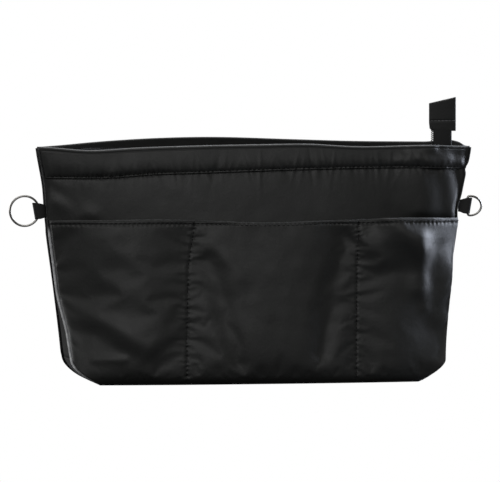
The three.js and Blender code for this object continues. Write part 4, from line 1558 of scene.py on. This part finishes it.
def tab_surface():
    """A closed skin, round the tab in the first direction and from its foot to its top in the second."""
    around = np.linspace(0, 2 * math.pi, 96, endpoint=False)[:, None]
    t = np.linspace(0, 1, 60)[None, :]
    half_width = (tab_high.x - tab_low.x) / 2
    half_thick = (tab_high.y - tab_low.y) / 2
    across = np.sign(np.cos(around)) * np.abs(np.cos(around)) ** 0.35
    deep = np.sign(np.sin(around)) * np.abs(np.sin(around)) ** 0.6
    ends = np.minimum(ease(t, round_from, tab_foot_round), ease(1 - t, round_from, tab_top_round)) ** 0.5
    drop = (tab_high.z - tab_low.z) * tab_slant_share
    top = tab_high.z - drop * (1 - across) / 2
    z = mix(tab_low.z, top, t)
    seam = tab_hem_share * np.exp(-((z - tab_low.z - tab_hem_height) / tab_hem_width) ** 2)
    waist = 1 - sum(deep_by * ease(t, height, 0.0) for deep_by, height in tab_waists) * (across < 0)
    x = tail_x + half_width * across * waist * mix(tab_end_narrow_share, 1, ends)
    flatter = (1 - tab_edge_thin_share * across ** 2) * mix(tab_foot_thick_share, 1, ease(t, 0, 0.5))
    return x, half_thick * deep * ends * (1 - seam) * flatter, z


points = tab_surface()
tab = cloth_mesh("tail_tab_cloth", *points, 0, closed=True)
tab.data.materials.append(nylon)
stand_for(tab, "tail", "zip_tail_tab")
tab_rows = []
for side in (FRONT, BACK):
    x = np.linspace(tab_low.x + tab_stitch_inset, tab_high.x - tab_stitch_inset, 30)
    tab_rows.append(np.stack([x, 0 * x + side * tab_stitch_out, 0 * x + tab_low.z + tab_hem_height], axis=-1))
tab_seam = repeat_along("tab_stitches", tab_rows, stitches, light_thread, **tab_stitch)
stand_for(tab_seam, "tail")

# %% [markdown]
# The slider and its pull are small castings. Their solids already have the right shape, so they keep them
# and only get worn, rounded edges from a bevel. The board in the base keeps its solid too. The left stop
# is a bar of thread sewn across both tapes, so it is a tube that swells a little at each turn of the thread.

# %% Slider, pull, board and left stop
worn_edge, thread_turn, turn_swell_share = 0.22 * mm, 0.25 * mm, 0.06
for node in ("zip_slider", "zip_pull"):
    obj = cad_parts[node]
    bevel = obj.modifiers.new("edges", "BEVEL")
    bevel.width = worn_edge
    bevel.segments = 2
    bevel.limit_method = "ANGLE"
    obj.data.materials.clear()
    obj.data.materials.append(dark_metal)

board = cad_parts["base_board"]
board.data.materials.clear()
board.data.materials.append(board_sheet)

stop_low, stop_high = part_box("zip_left_stop")
stop_y = np.linspace(stop_low.y, stop_high.y, 40)
stop_radius = (stop_high.x - stop_low.x) / 2 * (1 + turn_swell_share * np.sin(stop_y / thread_turn))
stop_x = (stop_low.x + stop_high.x) / 2
stop_path = np.stack([stop_x + 0 * stop_y, stop_y, stop_low.z + stop_radius[0] + 0 * stop_y], axis=-1)
stand_for(tube("left_stop_tack", stop_path, stop_radius, thread), "bag", "zip_left_stop")

# %% [markdown]
# The photograph has a plain white ground, a broad soft light from the front left and cool window light
# from the right. Four area lights and a dim sky do that: one in front, a weak window on the left, a
# strong one on the right, and one over the top. The ground and the sky are white only where the
# camera looks at them, so the cloth keeps its dark tones.

# %% Lights
def area_light(name, place, target, size, power, colour):
    """A rectangular light that faces a target."""
    light = bpy.data.lights.new(name, "AREA")
    light.shape = "RECTANGLE"
    light.size, light.size_y = size
    light.energy = power
    light.color = colour
    obj = bpy.data.objects.new(name, light)
    obj.location = place
    obj.rotation_euler = (Vector(place) - Vector(target)).to_track_quat("Z", "Y").to_euler()
    scene.collection.objects.link(obj)


middle = (0, 0, 0.075)
white, cool = (1, 1, 1), (0.8, 0.86, 1.0)
studio = [
    ("front softbox", (-0.35, -1.45, 1.0), (1.6, 0.8), 6.5, white),
    ("left window", (-1.2, 0.5, 0.35), (0.35, 0.8), 5, white),
    ("right window", (1.2, 0.25, 0.45), (0.4, 0.9), 18, cool),
    ("top softbox", (0.0, 0.45, 1.2), (1.4, 0.5), 7, white),
]
for name, place, size, power, colour in studio:
    area_light(name, place, middle, size, power, colour)
print("lights", len(bpy.data.lights))

# %% Floor and sky
def seen_white(tree, lit):
    """White where the camera looks at it, and the lit shader for every other ray."""
    path = tree.nodes.new("ShaderNodeLightPath")
    white = tree.nodes.new("ShaderNodeEmission")
    both = tree.nodes.new("ShaderNodeMixShader")
    tree.links.new(path.outputs["Is Camera Ray"], both.inputs[0])
    tree.links.new(lit, both.inputs[1])
    tree.links.new(white.outputs[0], both.inputs[2])
    return both.outputs[0]


floor_colour, floor_roughness = (0.09, 0.09, 0.09), 0.9
sky_colour, sky_strength = (1.0, 1.0, 0.97), 0.19
floor_material, floor_tree, floor_shader = principled("Pale floor", floor_colour, floor_roughness)
floor_output = floor_tree.nodes["Material Output"]
floor_tree.links.new(seen_white(floor_tree, floor_shader.outputs[0]), floor_output.inputs[0])
floor_mesh = bpy.data.meshes.new("floor")
floor_reach, floor_drop = 6.0, 0.5 * mm
corners = [(x * floor_reach, y * floor_reach, 0) for x, y in ((-1, -1), (1, -1), (1, 1), (-1, 1))]
floor_mesh.from_pydata(corners, [], [(0, 1, 2, 3)])
floor_mesh.materials.append(floor_material)
floor = bpy.data.objects.new("floor", floor_mesh)
floor.location.z = -floor_drop
scene.collection.objects.link(floor)

world = bpy.data.worlds.new("studio")
world.use_nodes = True
scene.world = world
world_tree = world.node_tree
ambient = world_tree.nodes["Background"]
ambient.inputs["Color"].default_value = (*sky_colour, 1)
ambient.inputs["Strength"].default_value = sky_strength
world_output = world_tree.nodes["World Output"]
world_tree.links.new(seen_white(world_tree, ambient.outputs[0]), world_output.inputs[0])
print("ground and sky ready")
